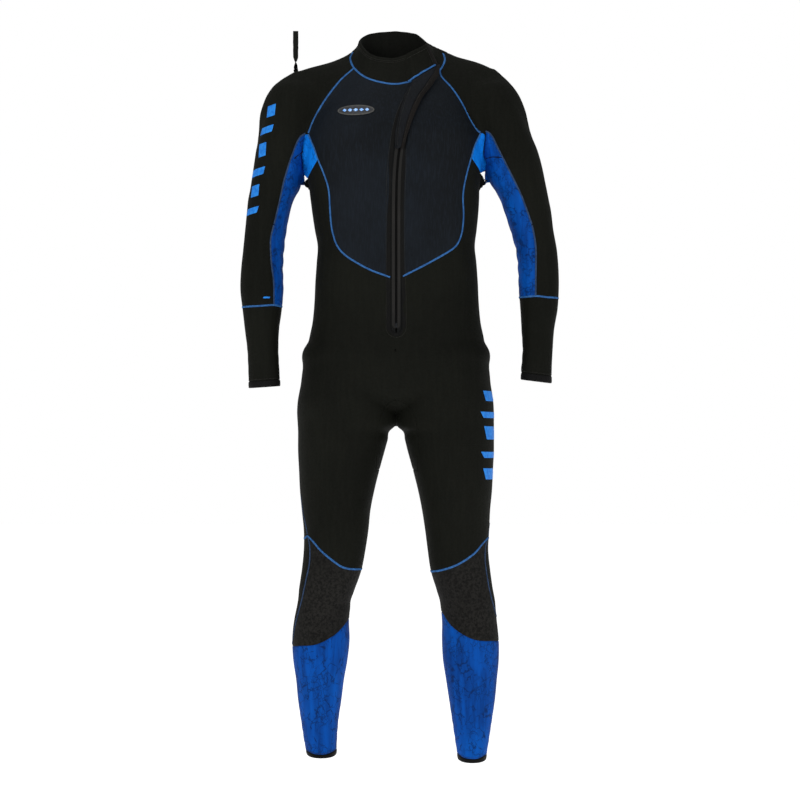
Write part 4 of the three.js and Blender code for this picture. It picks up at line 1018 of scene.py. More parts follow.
def threads(paths, radius, sides=5):
    """Round threads along (points, normals) paths, closed at both ends."""
    all_points, quads, caps = [], [], []
    base = 0
    angle = np.arange(sides) * 2 * math.pi / sides
    cos, sin = np.cos(angle)[None, :, None], np.sin(angle)[None, :, None]
    for points, normals in paths:
        rows = len(points)
        along = tangents(points)
        across = unit(np.cross(along, normals))
        up = np.cross(across, along)
        rings = points[:, None] + radius * (cos * across[:, None] + sin * up[:, None])
        all_points.append(rings.reshape(-1, 3))
        quads.append(strip_quads(rows, sides)[:, ::-1] + base)
        caps.append(np.arange(sides) + base)
        caps.append(np.arange(sides)[::-1] + base + (rows - 1) * sides)
        base += rows * sides
    return np.concatenate(all_points), [np.concatenate(quads), np.stack(caps)]


def zigzag(lines, half, height):
    """Thread paths that cross from side to side over traced lines."""
    paths = []
    for line in lines:
        points, normals, across = (column[::2] for column in line)
        side = np.where(np.arange(len(points)) % 2 == 0, 1.0, -1.0)[:, None]
        paths.append((points + across * side * half + normals * height, normals))
    return paths


def running(lines, height, dash=3, gap=1):
    """Paths of straight stitches that dip into the fabric at each end."""
    paths = []
    lift = height * np.sin(np.linspace(0.12, 1, dash + 1) * math.pi * 0.95)[:, None]
    for points, normals, _ in lines:
        for first in range(0, len(points) - dash - 1, dash + gap):
            part = slice(first, first + dash + 1)
            paths.append((points[part] + normals[part] * (lift - 0.05), normals[part]))
    return paths


def ribbon_object(name, lines, half, rise, mat, under=-0.8):
    return new_object(name, *ribbon(lines, half, rise, under), mat, sharp_angle=60)


def stitches(name, lines, height=0.4, radius=0.32):
    return new_object(name, *threads(running(lines, height), radius), DARK_THREAD)


# ------------------------------------------------------------------ materials
def srgb(text):
    """Linear colour from a hex string."""
    values = [int(text[i:i + 2], 16) / 255 for i in (1, 3, 5)]
    return tuple(v / 12.92 if v <= 0.04045 else ((v + 0.055) / 1.055)**2.4
                 for v in values) + (1.0,)


class Shader:
    """A principled material whose textures follow the rest position."""

    def __init__(self, name, rough=0.7, spec=0.35, sheen=0.0, sheen_rough=0.5, metal=0.0,
                 sheen_tint=None):
        self.mat = bpy.data.materials.new(name)
        self.mat.use_nodes = True
        self.tree = self.mat.node_tree
        self.inputs = self.tree.nodes["Principled BSDF"].inputs
        self.inputs["Roughness"].default_value = rough
        self.inputs["Specular IOR Level"].default_value = spec
        self.inputs["Metallic"].default_value = metal
        self.inputs["Sheen Weight"].default_value = sheen
        self.inputs["Sheen Roughness"].default_value = sheen_rough
        if sheen_tint:
            self.inputs["Sheen Tint"].default_value = srgb(sheen_tint)
        self.rest = self.add("ShaderNodeAttribute", attribute_name="rest").outputs["Vector"]

    def add(self, kind, **settings):
        node = self.tree.nodes.new(kind)
        for key, value in settings.items():
            setattr(node, key, value)
        return node

    def plug(self, socket, value):
        """Links an output, sets a plain value, or leaves the socket alone for None."""
        if hasattr(value, "is_output"):
            self.tree.links.new(value, socket)
        elif value is not None:
            socket.default_value = value

    def texture(self, kind, vector, values, **settings):
        node = self.add(kind, **settings)
        for key, value in values.items():
            node.inputs[key].default_value = value
        self.plug(node.inputs["Vector"], vector or self.rest)
        return node.outputs

    def scaled(self, scale, vector=None):
        return self.texture("ShaderNodeMapping", vector, {"Scale": scale})["Vector"]

    def noise(self, scale, detail=3.0, rough=0.5, vector=None, output="Fac"):
        values = {"Scale": scale, "Detail": detail, "Roughness": rough}
        return self.texture("ShaderNodeTexNoise", vector, values)[output]

    def wave(self, scale, axis, distort, detail_scale):
        values = {"Scale": scale, "Distortion": distort, "Detail": 1.0,
                  "Detail Scale": detail_scale}
        return self.texture("ShaderNodeTexWave", None, values, bands_direction=axis)["Fac"]

    def cells(self, scale, feature="DISTANCE_TO_EDGE", vector=None):
        return self.texture("ShaderNodeTexVoronoi", vector, {"Scale": scale},
                            feature=feature)["Distance"]

    def math(self, operation, first, second, clamp=False):
        node = self.add("ShaderNodeMath", operation=operation, use_clamp=clamp)
        self.plug(node.inputs[0], first)
        self.plug(node.inputs[1], second)
        return node.outputs[0]

    def weighted(self, first, first_weight, second, second_weight):
        """Sum of two textures, each with its weight."""
        return self.math("ADD", self.math("MULTIPLY", first, first_weight),
                         self.math("MULTIPLY", second, second_weight))

    def ramp(self, value, low, high, start=0.0, end=1.0):
        """Smooth step of value from low to high."""
        node = self.add("ShaderNodeMapRange", interpolation_type="SMOOTHSTEP")
        node.inputs["From Min"].default_value = low
        node.inputs["From Max"].default_value = high
        node.inputs["To Min"].default_value = start
        node.inputs["To Max"].default_value = end
        self.plug(node.inputs["Value"], value)
        return node.outputs[0]

    def mix(self, factor, first, second):
        """Mix of two colours, each an output or a hex string."""
        node = self.add("ShaderNodeMix", data_type="RGBA")
        for socket, value in ((0, factor), (6, first), (7, second)):
            self.plug(node.inputs[socket], srgb(value) if isinstance(value, str) else value)
        return node.outputs[2]

    def colour(self, value):
        self.plug(self.inputs["Base Color"], value)

    def rough(self, value):
        self.plug(self.inputs["Roughness"], value)

    def bump(self, height, strength, distance):
        node = self.add("ShaderNodeBump")
        node.inputs["Strength"].default_value = strength
        node.inputs["Distance"].default_value = distance
        self.plug(node.inputs["Height"], height)
        self.plug(self.inputs["Normal"], node.outputs["Normal"])


def jersey(name, base, light, rough=0.72, sheen=0.03, tint=None, rib=1.0):
    """Fine knit with courses across and wales along it; rib is the strength of the wales."""
    shader = Shader(name, rough=rough, spec=0.08, sheen=sheen, sheen_rough=0.45,
                    sheen_tint=tint)
    patches = shader.noise(scale=5.0, detail=2.0)
    streaks = shader.noise(scale=160.0, detail=2.0, vector=shader.scaled((1.0, 1.0, 0.08)))
    shade = shader.weighted(shader.ramp(patches, 0.35, 0.7), 0.7,
                            shader.ramp(streaks, 0.4, 0.65), 0.3)
    shader.colour(shader.mix(shade, base, light))
    courses = shader.wave(scale=700.0, axis="Z", distort=0.6, detail_scale=2.0)
    wales = shader.wave(scale=560.0, axis="X", distort=0.6, detail_scale=2.0)
    knit = shader.weighted(courses, 0.5, wales, 0.5 * rib)
    grain = shader.noise(scale=300.0, detail=2.0)
    shader.bump(shader.weighted(knit, 0.55, grain, 0.45), strength=0.35, distance=0.0005)
    shader.rough(shader.ramp(grain, 0.3, 0.7, rough - 0.06, rough + 0.07))
    return shader.mat


def mesh_skin(name, base, light, fleck):
    """Ribbed skin with small open cells and light flecks."""
    shader = Shader(name, rough=0.62, spec=0.09, sheen=0.02, sheen_rough=0.4,
                    sheen_tint="#6f86a8")
    patches = shader.noise(scale=6.0, detail=2.0)
    streaks = shader.noise(scale=420.0, vector=shader.scaled((1.0, 1.0, 0.12)))
    ground = shader.mix(shader.ramp(patches, 0.35, 0.65), base, light)
    flecks = shader.math("MULTIPLY", shader.ramp(streaks, 0.45, 0.66), 0.3)
    shader.colour(shader.mix(flecks, ground, fleck))
    ribs = shader.wave(scale=420.0, axis="X", distort=0.4, detail_scale=1.0)
    cells = shader.ramp(shader.cells(scale=480.0), 0.0, 0.2)
    shader.bump(shader.weighted(ribs, 0.4, cells, 0.6), strength=0.3, distance=0.0005)
    return shader.mat


def crackle(name, dark, light, glow, ink, amount):
    """Stretch cloth printed with fine broken scribbles over streaky blue."""
    shader = Shader(name, rough=0.66, spec=0.07, sheen=0.01, sheen_rough=0.4,
                    sheen_tint="#9cc8ff")
    # cell edges in a warped space make the scribbles
    warp = shader.noise(scale=60.0, rough=0.65, output="Color")
    offset = shader.add("ShaderNodeVectorMath", operation="MULTIPLY_ADD")
    shader.plug(offset.inputs[0], warp)
    offset.inputs[1].default_value = (0.016, 0.016, 0.016)
    shader.plug(offset.inputs[2], shader.rest)
    tall = shader.scaled((1.0, 1.0, 0.7), offset.outputs[0])
    coarse_cells = shader.cells(scale=62.0, vector=tall)
    fine_cells = shader.cells(scale=118.0, vector=tall)
    coarse_gate = shader.noise(scale=38.0, detail=2.0)
    fine_gate = shader.noise(scale=30.0, detail=2.0, vector=shader.scaled((1.0, 1.0, 0.8)))
    width = shader.ramp(shader.noise(scale=90.0, detail=2.0), 0.35, 0.75, 0.02, 0.13)

    def line(cells, line_width):
        return shader.math("SUBTRACT", 1.0, shader.math("DIVIDE", cells, line_width, True), True)

    coarse = shader.math("MULTIPLY", line(coarse_cells, width),
                         shader.ramp(coarse_gate, 0.40, 0.56))
    fine = shader.math("MULTIPLY", line(fine_cells, 0.09), shader.ramp(fine_gate, 0.47, 0.60))
    lines = shader.math("MAXIMUM", coarse, shader.math("MULTIPLY", fine, 0.8))
    spots = shader.noise(scale=48.0, detail=1.5)
    blots = shader.math("MULTIPLY", shader.ramp(spots, 0.66, 0.76), 0.75)
    printed = shader.math("MULTIPLY", shader.math("MAXIMUM", lines, blots), amount)
    streaks = shader.noise(scale=70.0, rough=0.6, vector=shader.scaled((1.0, 1.0, 0.10)))
    patches = shader.noise(scale=9.0, detail=2.0)
    ground = shader.mix(shader.ramp(streaks, 0.35, 0.68), dark, light)
    glowing = shader.math("MULTIPLY", shader.ramp(patches, 0.45, 0.75), 0.5)
    ground = shader.mix(glowing, ground, glow)
    shader.colour(shader.mix(printed, ground, ink))
    grain = shader.noise(scale=320.0, detail=2.0)
    courses = shader.wave(scale=700.0, axis="Z", distort=0.6, detail_scale=2.0)
    shader.bump(shader.weighted(courses, 0.4, grain, 0.5), strength=0.3, distance=0.0005)
    return shader.mat


def knee_rubber():
    """Pebbled, mottled rubber."""
    shader = Shader("knee_pad_rubber", rough=0.72, spec=0.08, sheen=0.01)
    specks = shader.noise(scale=420.0, rough=0.7)
    mottle = shader.noise(scale=190.0, rough=0.65)
    patches = shader.noise(scale=7.0, detail=2.0)
    ground = shader.mix(shader.ramp(mottle, 0.38, 0.62), "#090908", "#201f1d")
    speckled = shader.math("MULTIPLY", shader.ramp(specks, 0.4, 0.62), 0.45)
    ground = shader.mix(speckled, ground, "#1d1c1a")
    darker = shader.math("MULTIPLY", shader.ramp(patches, 0.4, 0.7), 0.3)
    shader.colour(shader.mix(darker, ground, "#0d0c0b"))
    pebbles = shader.cells(scale=480.0, feature="F1")
    shader.bump(shader.weighted(pebbles, 0.7, specks, 0.3), strength=0.5, distance=0.0007)
    return shader.mat


def thread(name, dark, light, rough=0.5):
    """Twisted yarn."""
    shader = Shader(name, rough=rough, spec=0.2, sheen=0.02, sheen_rough=0.3)
    shade = shader.noise(scale=160.0, detail=2.0)
    shader.colour(shader.mix(shader.ramp(shade, 0.35, 0.65), dark, light))
    ply = shader.wave(scale=2200.0, axis="DIAGONAL", distort=0.4, detail_scale=2.0)
    shader.bump(ply, strength=0.35, distance=0.0002)
    return shader.mat


def tape_weave():
    """Close plain weave."""
    shader = Shader("zip_tape_weave", rough=0.7, spec=0.1, sheen=0.02)
    weft = shader.wave(scale=1500.0, axis="Z", distort=0.2, detail_scale=1.0)
    warp = shader.wave(scale=1200.0, axis="X", distort=0.2, detail_scale=1.0)
    weave = shader.math("MULTIPLY", weft, warp)
    shader.colour(shader.mix(shader.ramp(weave, 0.1, 0.7), "#060707", "#0d0e0e"))
    shader.bump(weave, strength=0.5, distance=0.0003)
    return shader.mat


def grainy(name, dark, light, rough, scale, bump=0.2, metal=0.0, spec=0.4):
    """Hard part with one noise for its colour, roughness and grain."""
    shader = Shader(name, rough=rough, spec=spec, metal=metal)
    grain = shader.noise(scale=scale)
    shader.colour(shader.mix(shader.ramp(grain, 0.35, 0.65), dark, light))
    shader.rough(shader.ramp(grain, 0.3, 0.7, rough - 0.06, rough + 0.08))
    shader.bump(grain, strength=bump, distance=0.0003)
    return shader.mat


def nap(name, dark, light):
    """Short dense pile."""
    shader = Shader(name, rough=0.9, spec=0.2, sheen=0.35, sheen_rough=0.6)
    pile = shader.noise(scale=700.0, detail=2.0)
    shader.colour(shader.mix(shader.ramp(pile, 0.35, 0.65), dark, light))
    shader.bump(pile, strength=0.8, distance=0.001)
    return shader.mat


BLACK = jersey("black_jersey", "#090a06", "#10110c", sheen=0.02, tint="#8a8f86")
LINING = jersey("inner_lining", "#0f100d", "#171815", rough=0.85, sheen=0.02)
# black of the binding tape, also used for the painted shade strips beside the zip and in the
# armpit folds
BINDING_AND_SHADE = jersey("binding_tape_and_painted_shade", "#060606", "#0c0c0b", rough=0.6, rib=0.3)
FLAP_TAPE = jersey("flap_edge_tape", "#0c0a09", "#151210", rough=0.62, rib=0.3)
NAVY = mesh_skin("chest_mesh_skin", "#080c10", "#0e1319", "#192029")
FLAP_SKIN = mesh_skin("flap_mesh_skin", "#0c0e11", "#131519", "#1c1f25")
BLUE = crackle("blue_crackle_print", dark="#00367e", light="#00489f", glow="#0358b6",
               ink="#021636", amount=0.8)
BRIGHT_BLUE = crackle("blue_gusset_print", dark="#0466c4", light="#067ae0", glow="#0a88f0",
                      ink="#04346e", amount=0.5)
KNEE = knee_rubber()
# thread and the strip under it
BLUE_THREAD = (thread("blue_thread", "#3369a6", "#4680be"),
               thread("blue_thread_bed", "#1f4f86", "#285f9a", rough=0.6))
# the blue thread and its bed made dimmer as painted shade, for the seams under the arms, at the
# elbows, down the sides of the legs and at the back
SHADED_THREAD = (thread("shaded_blue_thread", "#2c4468", "#38547c"),
                thread("slate_thread_bed", "#1f324e", "#283e5e", rough=0.6))
DARK_THREAD = thread("dark_thread", "#201f1d", "#2b2a27", rough=0.55)
PRINT = thread("blue_print", "#1670cc", "#2484de")
TAPE = tape_weave()
TEETH = grainy("moulded_teeth", "#040404", "#080808", rough=0.6, scale=260.0, spec=0.1)
RIB = jersey("zip_rib_tape", "#181817", "#242322", rough=0.6, rib=0.3)
METAL = grainy("black_coated_metal", "#202124", "#2e3034", rough=0.36, scale=200.0, bump=0.1,
               metal=0.8)
BADGE = grainy("badge_transfer", "#2c2d30", "#38393c", rough=0.5, scale=240.0, spec=0.2)
BADGE_RIM = grainy("badge_rim", "#41413f", "#4e4e4b", rough=0.5, scale=240.0, spec=0.2)
BADGE_MARK = grainy("badge_mark", "#6fa8f0", "#a8ccff", rough=0.5, scale=240.0)
HOOK = nap("hook_and_loop", "#0b0b0b", "#1c1c1c")

# ------------------------------------------------------------------ how each region is placed
HIP_OUTER_TOP, HIP_OUTER_BOTTOM = 0.790, 0.635
HIP_INNER_TOP = 0.700
HIP_INNER_X, HIP_INNER_Z = 0.0395, 0.6716


def bends():
    """Function that bakes an object's transform into its mesh."""
    return lambda obj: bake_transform(obj)


def rides(body):
    return lambda obj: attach(obj, body)


def stand_in(obj, mover, *nodes):
    """Applies an object's mover and has it replace CAD nodes."""
    mover(obj)
    if nodes:
        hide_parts(*nodes)


def outside_hip_line(points):
    """Positive outside the line that splits the hip panels into outer and inner parts."""
    run = 1000 * HIP_INNER_X
    drop = 1000 * (HIP_INNER_TOP - HIP_INNER_Z)
    length = 1000 * (HIP_OUTER_TOP - HIP_OUTER_BOTTOM)
    slope = (run**2 + drop**2) / length / run
    x, _, z = points.T
    return np.abs(x) - ((1000 * HIP_OUTER_TOP - z) * slope
                        - (1000 * HIP_INNER_TOP - z) * drop / run)


def inside_hip_line(points):
    return -outside_hip_line(points)


# ------------------------------------------------------------------ collar rim
# Degrees from straight ahead towards the wearer's left, height of the rim.
RIM_TABLE = [
    (-180, 1467.8), (-150, 1465), (-131, 1460), (-116, 1452), (-95, 1441), (-73.6, 1432),
    (-60, 1420.5), (-45.5, 1406.5), (-30, 1397.5), (-7, 1393.2), (0, 1394.2), (13.6, 1399),
    (34.7, 1411.5), (59.5, 1427.5), (80, 1430.5), (99, 1434.5), (122, 1449), (137, 1459.8),
    (157, 1465), (180, 1467.8),
]
RIM_TURNS = np.arange(-180, 181, 2.0)


def rounded_rim():
    """Rim heights at RIM_TURNS, with the table's corners rounded."""
    heights = np.interp(RIM_TURNS, *zip(*RIM_TABLE))
    for _ in range(6):
        heights = (np.roll(heights, 1) + 2 * heights + np.roll(heights, -1)) / 4
        heights[0] = heights[-1] = RIM_TABLE[0][1]
    return heights


RIM_HEIGHTS = rounded_rim()


def rim_level(x, y):
    """Height of the collar's rim in the direction of x, y from the neck's middle."""
    return np.interp(np.degrees(np.arctan2(x, -y)), RIM_TURNS, RIM_HEIGHTS)


def below_rim(points):
    return (rim_level(points[:, 0], points[:, 1]) - points[:, 2]) * 0.86


# ------------------------------------------------------------------ the suit's panels
BODY_POINTS, BODY_TRIS, BODY_NORMALS = body_mesh(5.0)
BODY_POINTS = BODY_POINTS + BODY_NORMALS * creases(BODY_POINTS)[:, None]
BODY_NORMALS = vertex_normals(BODY_POINTS, BODY_TRIS)


def panel(name, node, mat, mover, hems=(), limits=(), lift=0.0, pinched=False, fold=None):
    """Cloth panel that stands in for a CAD node.

    pinched thickens the sheet inwards along its edges; fold is a line pressed into it."""
    front, back = OUTLINES[node.rstrip("*")]
    points, normals, tris, gap, way = cut(front, back, hems, limits)
    outer, slope = groove(gap)
    inner = lift - SHEET - (outer * 0.8 if pinched else 0)
    if fold is not None:    # a deep crease between two panels, in front only
        away = to_line(points, fold) + np.maximum(points[:, 1] - SPLIT_Y + 2, 0)
        deep = 5.0 * np.exp(-(away / 2.2)**1.3)
        outer = outer - deep
        inner = inner - deep
        slope = slope + deep / 2.4 * (gap < 9)
    obj = shell(name, points, normals, tris, lift + outer, inner, mat,
                tilt=way * slope[:, None], inner_mat=LINING)
    stand_in(obj, mover, node)


ANKLE_HEMS = {"right": (12.0, 0.09), "left": (2.5, 0.085)}    # height at y = 0, rise along y


def make_side_panels(side):
    shoulder, elbow, knee = (bends() for name in ("shoulder", "elbow", "knee"))
    hip_outer, hip_inner = bends(), bends()
    arm, thigh, shin = (rides(f"{name}_{side}") for name in ("lower_arm", "thigh", "shin"))
    fold = LINES[f"fold_{side}"]
    hem_height, hem_rise = ANKLE_HEMS[side]

    def own_half(points):
        return points[:, 0] * SIGN[side]

    def above_hem(points):
        return points[:, 2] - hem_height - hem_rise * points[:, 1]

    def sew(name, node, mat, mover, **options):
        """Panel for a CAD node that comes once per side."""
        panel(f"{name}_{side}", f"{node}_{side}", mat, mover, **options)

    def sew_half(name, node, mover, *limits):
        """This side's part of a panel that crosses the middle."""
        panel(f"{name}_{side}", node, BLACK, mover, limits=(own_half, *limits))

    sew("shoulder_cloth", "shoulder", BLACK, shoulder)
    sew("gusset_cloth", "underarm_gusset", BRIGHT_BLUE, shoulder, fold=fold)
    sew("sleeve_cloth", "sleeve_upper", BLACK, shoulder)
    sew("underarm_cloth", "underarm_panel", BLUE, shoulder, fold=fold)
    sew("elbow_outer_cloth", "elbow_outer", BLACK, elbow)
    sew("elbow_inner_cloth", "elbow_inner", BLUE, elbow)
    sew("forearm_cloth", "forearm", BLACK, arm)
    sew("cuff_binding", "cuff_hem", BINDING_AND_SHADE, arm, lift=0.5, pinched=True)
    sew("chest_skin", "chest_panel", NAVY, shoulder)
    sew_half("abdomen_cloth", "abdomen_panel", bends())
    sew_half("back_upper_cloth", "back_upper_panel", shoulder)
    sew("hip_outer_cloth", "hip_panel", BLACK, hip_outer, limits=(outside_hip_line,))
    sew("hip_inner_cloth", "hip_panel", BLACK, hip_inner, limits=(inside_hip_line,))
    sew_half("crotch_outer_cloth", "crotch_gusset", hip_outer, outside_hip_line)
    sew_half("crotch_inner_cloth", "crotch_gusset", hip_inner, inside_hip_line)
    sew("thigh_front_cloth", "thigh_front", BLACK, thigh)
    sew("thigh_back_cloth", "thigh_back", BLACK, thigh)
    sew("knee_pad_skin", "knee_pad", KNEE, knee)
    sew("knee_back_cloth", "knee_back", BLACK, knee)
    sew("calf_cloth", "calf_panel", BLUE, knee)
    sew("ankle_binding", "ankle_hem", BINDING_AND_SHADE, shin, hems=(above_hem,), lift=0.5, pinched=True)


for side_ in SIGN:
    make_side_panels(side_)
panel("back_lower_cloth", "back_lower_panel", BLACK, rides("torso"))
panel("collar_cloth", "collar", BLACK, rides("torso"), hems=(below_rim,), pinched=True)

# ------------------------------------------------------------------ seams
SEAM_HALF, SEAM_RISE = 1.75, 0.42    # half width and height of a seam's bed


def seam_line(name, back=False):
    return trace(LINES[name], back, rounding=6)


def bridge(front, back, end):
    """Closes the gap at the side between a seam's front and back halves.

    end 0 is the front half's first point, 1 its last. Gives None where there is no such gap."""
    points, normals, across = front
    others = back[0]
    here = 0 if end == 0 else len(points) - 1
    there = min((0, len(others) - 1), key=lambda i: np.linalg.norm(others[i] - points[here]))
    gap = float(np.linalg.norm(others[there] - points[here]))
    if not 1.0 < gap < 34.0:
        return None
    way = points[1] - points[0] if here == 0 else points[here] - points[here - 1]
    sign = np.sign(np.dot(np.cross(normals[here], way), across[here])) or 1.0
    part = np.linspace(0, 1, max(4, int(gap)))[:, None]
    line = project(points[here] * (1 - part) + others[there] * part, 6)
    line_normals = unit(gradient(line))
    return line, line_normals, unit(np.cross(line_normals, tangents(line))) * sign


def seam_around(name):
    """Front and back halves of a seam, with bridges between them."""
    front, back = seam_line(name), seam_line(name, back=True)
    bridges = [bridge(front, back, end) for end in (0, 1)]
    return [front, back] + [line for line in bridges if line is not None]


def flatlock(tag, mover, lines, colours=BLUE_THREAD, half=SEAM_HALF):
    """Seam of a raised bed with a zigzag thread over it."""
    top, bed = colours
    stand_in(ribbon_object(f"seam_bed_{tag}", lines, half, SEAM_RISE, bed, under=-1.0), mover)
    paths = zigzag(lines, half * 0.86, SEAM_RISE + 0.12)
    stand_in(new_object(f"seam_thread_{tag}", *threads(paths, 0.36), top), mover)


def make_side_seams(side):
    shoulder, elbow, knee = (bends() for name in ("shoulder", "elbow", "knee"))
    flatlock(f"raglan_{side}", shoulder, [seam_line(f"raglan_{side}"),
                                          seam_line(f"chest_{side}")])
    flatlock(f"raglan_back_{side}", shoulder, [seam_line(f"raglan_back_{side}", back=True)],
             SHADED_THREAD)
    flatlock(f"underarm_{side}", shoulder, seam_around(f"underarm_{side}"), SHADED_THREAD, 1.6)
    flatlock(f"elbow_{side}", elbow, seam_around(f"elbow_{side}"), SHADED_THREAD, 1.6)
    flatlock(f"forearm_{side}", rides(f"lower_arm_{side}"), seam_around(f"forearm_{side}"))
    flatlock(f"knee_{side}", knee, seam_around(f"knee_{side}"), half=1.9)
    flatlock(f"thigh_side_{side}", rides(f"thigh_{side}"), [seam_line(f"thigh_side_{side}")],
             SHADED_THREAD, 1.6)
    flatlock(f"knee_side_{side}", knee, [seam_line(f"knee_side_{side}")], SHADED_THREAD, 1.6)


for side_ in SIGN:
    make_side_seams(side_)
flatlock("neck", rides("torso"), [seam_line("neck_front")])
flatlock("neck_back", rides("torso"), [seam_line("neck_back", back=True)], SHADED_THREAD)
flatlock("waist_back", rides("torso"), [seam_line("waist_back", back=True)], SHADED_THREAD)

# ------------------------------------------------------------------ front zip
ZIP_PATH = [    # height, x of the zip's middle
    (840, 1.5), (1056, 1.5), (1068, 1.6), (1080, 1.6), (1092, 1.6), (1104, 1.7), (1116, 1.9),
    (1128, 2), (1140, 2.3), (1152, 2.7), (1164, 3.3), (1176, 4.1), (1188, 5.2), (1200, 6.5),
    (1212, 8), (1224, 9.7), (1236, 11.6), (1248, 13.7), (1252, 14.4), (1270, 19.1),
    (1282, 22.7), (1296.5, 28.5), (1311, 34.4), (1325.7, 42.3), (1340.6, 50.2), (1354, 57.7),
]
SLIDER_Z = 1252
SLIDER_X = 1.58 + (SLIDER_Z - 915)**2 / 8660
SLIDER_TURN, SLIDER_TIP = 4.46, 1.99    # degrees about Y and about X
PIN_Y = -3.35                           # depth of the pin that the pull tab hangs on


def zip_x(z):
    return np.interp(np.asarray(z, float), *zip(*ZIP_PATH))


def chest_front_y(z):
    """Depth of the zip on the straight part of the chest."""
    return -103.2 - 0.0347 * (z - 875)


def zip_y(x, z):
    return np.where(z < 1256, chest_front_y(z), find_y(x, z)[0])


def zip_strip(name, low, high, ring, mat, foot=None, sharp_angle=50):
    """Strip along the zip; ring holds (sideways, inward) points, foot rounds the lower end."""
    z = np.linspace(low, high, max(2, int((high - low) / 3.0) + 1))
    narrowing = np.ones(len(z))
    if foot:
        arc = np.linspace(0.12, math.pi / 2, 9)[:-1]
        z = np.concatenate([low + foot * (1 - np.cos(arc)), z[z > low + foot]])
        narrowing = np.sqrt(np.clip(1 - ((low + foot - z) / foot)**2, 0.02, 1))
        narrowing = np.where(z > low + foot, 1.0, narrowing)
    columns = []
    for sideways, inward in ring:
        x = zip_x(z) + sideways * narrowing
        columns.append(np.stack([x, zip_y(x, z) + inward, z], 1))
    sides = len(ring)
    caps = [np.arange(sides)[::-1][None], np.arange(sides)[None] + (len(z) - 1) * sides]
    return new_object(name, np.stack(columns, 1).reshape(-1, 3),
                      [strip_quads(len(z), sides)] + caps, mat, sharp_angle=sharp_angle)


# Sections as (sideways, inward), for the left half.
TAPE_SECTION = [(1.9, 1.0), (3.0, 0.55), (6.0, 0.4), (9.6, 0.5), (11.0, 1.1), (11.0, 2.8),
                (1.9, 2.8)]
RIB_SECTION = [(2.3, 0.6), (2.9, -0.1), (5.2, -0.25), (7.8, -0.1), (8.6, 0.6), (8.6, 1.4),
               (2.3, 1.4)]
CORD_SECTION = [(-1.5, 2.2), (1.5, 2.2), (1.5, 2.75), (-1.5, 2.75)]


def mirrored(section, side):
    sign = SIGN[side]
    return [(sign * sideways, inward) for sideways, inward in section][::sign]


def ring_faces(rings, sides, closed=False):
    """Faces between rings of points; closed joins the last ring to the first."""
    faces = []
    for ring in range(rings if closed else rings - 1):
        here, above = ring * sides, (ring + 1) % rings * sides
        faces += [[here + i, here + (i + 1) % sides, above + (i + 1) % sides, above + i]
                  for i in range(sides)]
    if not closed:
        faces += [list(range(sides))[::-1], [(rings - 1) * sides + i for i in range(sides)]]
    return faces


def tooth(centre, side, out, up):
    """Box whose outer end is drawn in."""
    points = []
    for depth, scale in ((-1.0, 0.86), (-0.2, 1.0), (0.55, 1.0), (1.0, 0.72)):
        for a, b in ((-1, -1), (1, -1), (1, 1), (-1, 1)):
            points.append(centre + side * (a * 1.35 * scale) + out * (depth * 0.9)
                          + up * (b * 0.52 * scale))
    return np.array(points)


def zip_teeth(low, high, pitch=2.5):
    """Teeth of both halves, alternating every half pitch."""
    zs = np.arange(low, high, pitch / 2)
    xs = zip_x(zs)
    ys = zip_y(xs, zs)
    points = []
    for i, (x, y, z) in enumerate(zip(xs, ys, zs)):
        slope = (float(zip_x(z + 1)) - float(zip_x(z - 1))) / 2
        up = np.array([slope, 0, 1]) / math.hypot(slope, 1)
        side = np.array([up[2], 0, -up[0]])
        sign = 1 if i % 2 else -1
        centre = np.array([x, y + 1.55, z]) + side * sign * 0.55
        points.append(tooth(centre, side, np.array([0, -1.0, 0]), up))
    faces = np.array(ring_faces(4, 4))
    return np.concatenate(points), np.concatenate([faces + 16 * i for i in range(len(zs))])


def rounded_box(span_x, span_y, span_z, radius, segments=3):
    bm = bmesh.new()
    bmesh.ops.create_cube(bm, size=1.0)
    for vert in bm.verts:
        vert.co = [span[0] if value < 0 else span[1]
                   for value, span in zip(vert.co[:], (span_x, span_y, span_z))]
    bmesh.ops.bevel(bm, geom=list(bm.edges) + list(bm.verts), offset=radius,
                    segments=segments, profile=0.5, affect="EDGES")
    bm.verts.index_update()
    points = np.array([vert.co[:] for vert in bm.verts])
    faces = [[vert.index for vert in face.verts] for face in bm.faces]
    bm.free()
    return points, faces


def at_depth(flat, y):
    """(x, z) points set at one depth."""
    return np.stack([flat[:, 0], np.full(len(flat), y), flat[:, 1]], 1)


def rings_along_x(profile, y=0.0, z=0.0, sides=20):
    """Circles about the X axis, one per (x, radius) of the profile."""
    angle = np.arange(sides) * 2 * math.pi / sides
    return np.concatenate([
        np.stack([np.full(sides, x), y + radius * np.cos(angle), z + radius * np.sin(angle)], 1)
        for x, radius in profile])


def pin(radius, half, y):
    """Rod along X with chamfered ends."""
    end = radius * 0.7
    profile = ((-half, end), (-half + 0.2, radius), (half - 0.2, radius), (half, end))
    return rings_along_x(profile, y=y), ring_faces(4, 20)


def plate(outline, front, back, chamfer=0.25):
    """Plate from an (x, z) outline, with chamfered faces."""
    outline = np.array(outline, float)
    centre = outline.mean(0)
    from_centre = outline - centre
    length = np.maximum(np.linalg.norm(from_centre, axis=1, keepdims=True), 1e-6)
    small = centre + from_centre * (1 - chamfer / length)
    points = np.concatenate([at_depth(small, front), at_depth(outline, front + chamfer),
                             at_depth(outline, back - chamfer), at_depth(small, back)])
    return points, ring_faces(4, len(outline))


def shield(width, length, sides=28):
    """Rounded (x, z) outline, narrower towards its lower end."""
    angle = np.arange(sides) * 2 * math.pi / sides
    cos, sin = np.cos(angle), np.sin(angle)
    x = width / 2 * np.sign(cos) * np.abs(cos)**0.55
    z = length / 2 * np.sign(sin) * np.abs(sin)**0.6
    return np.stack([x * (1 - 0.10 * (z < 0) * (-z) / (length / 2)), z], 1)


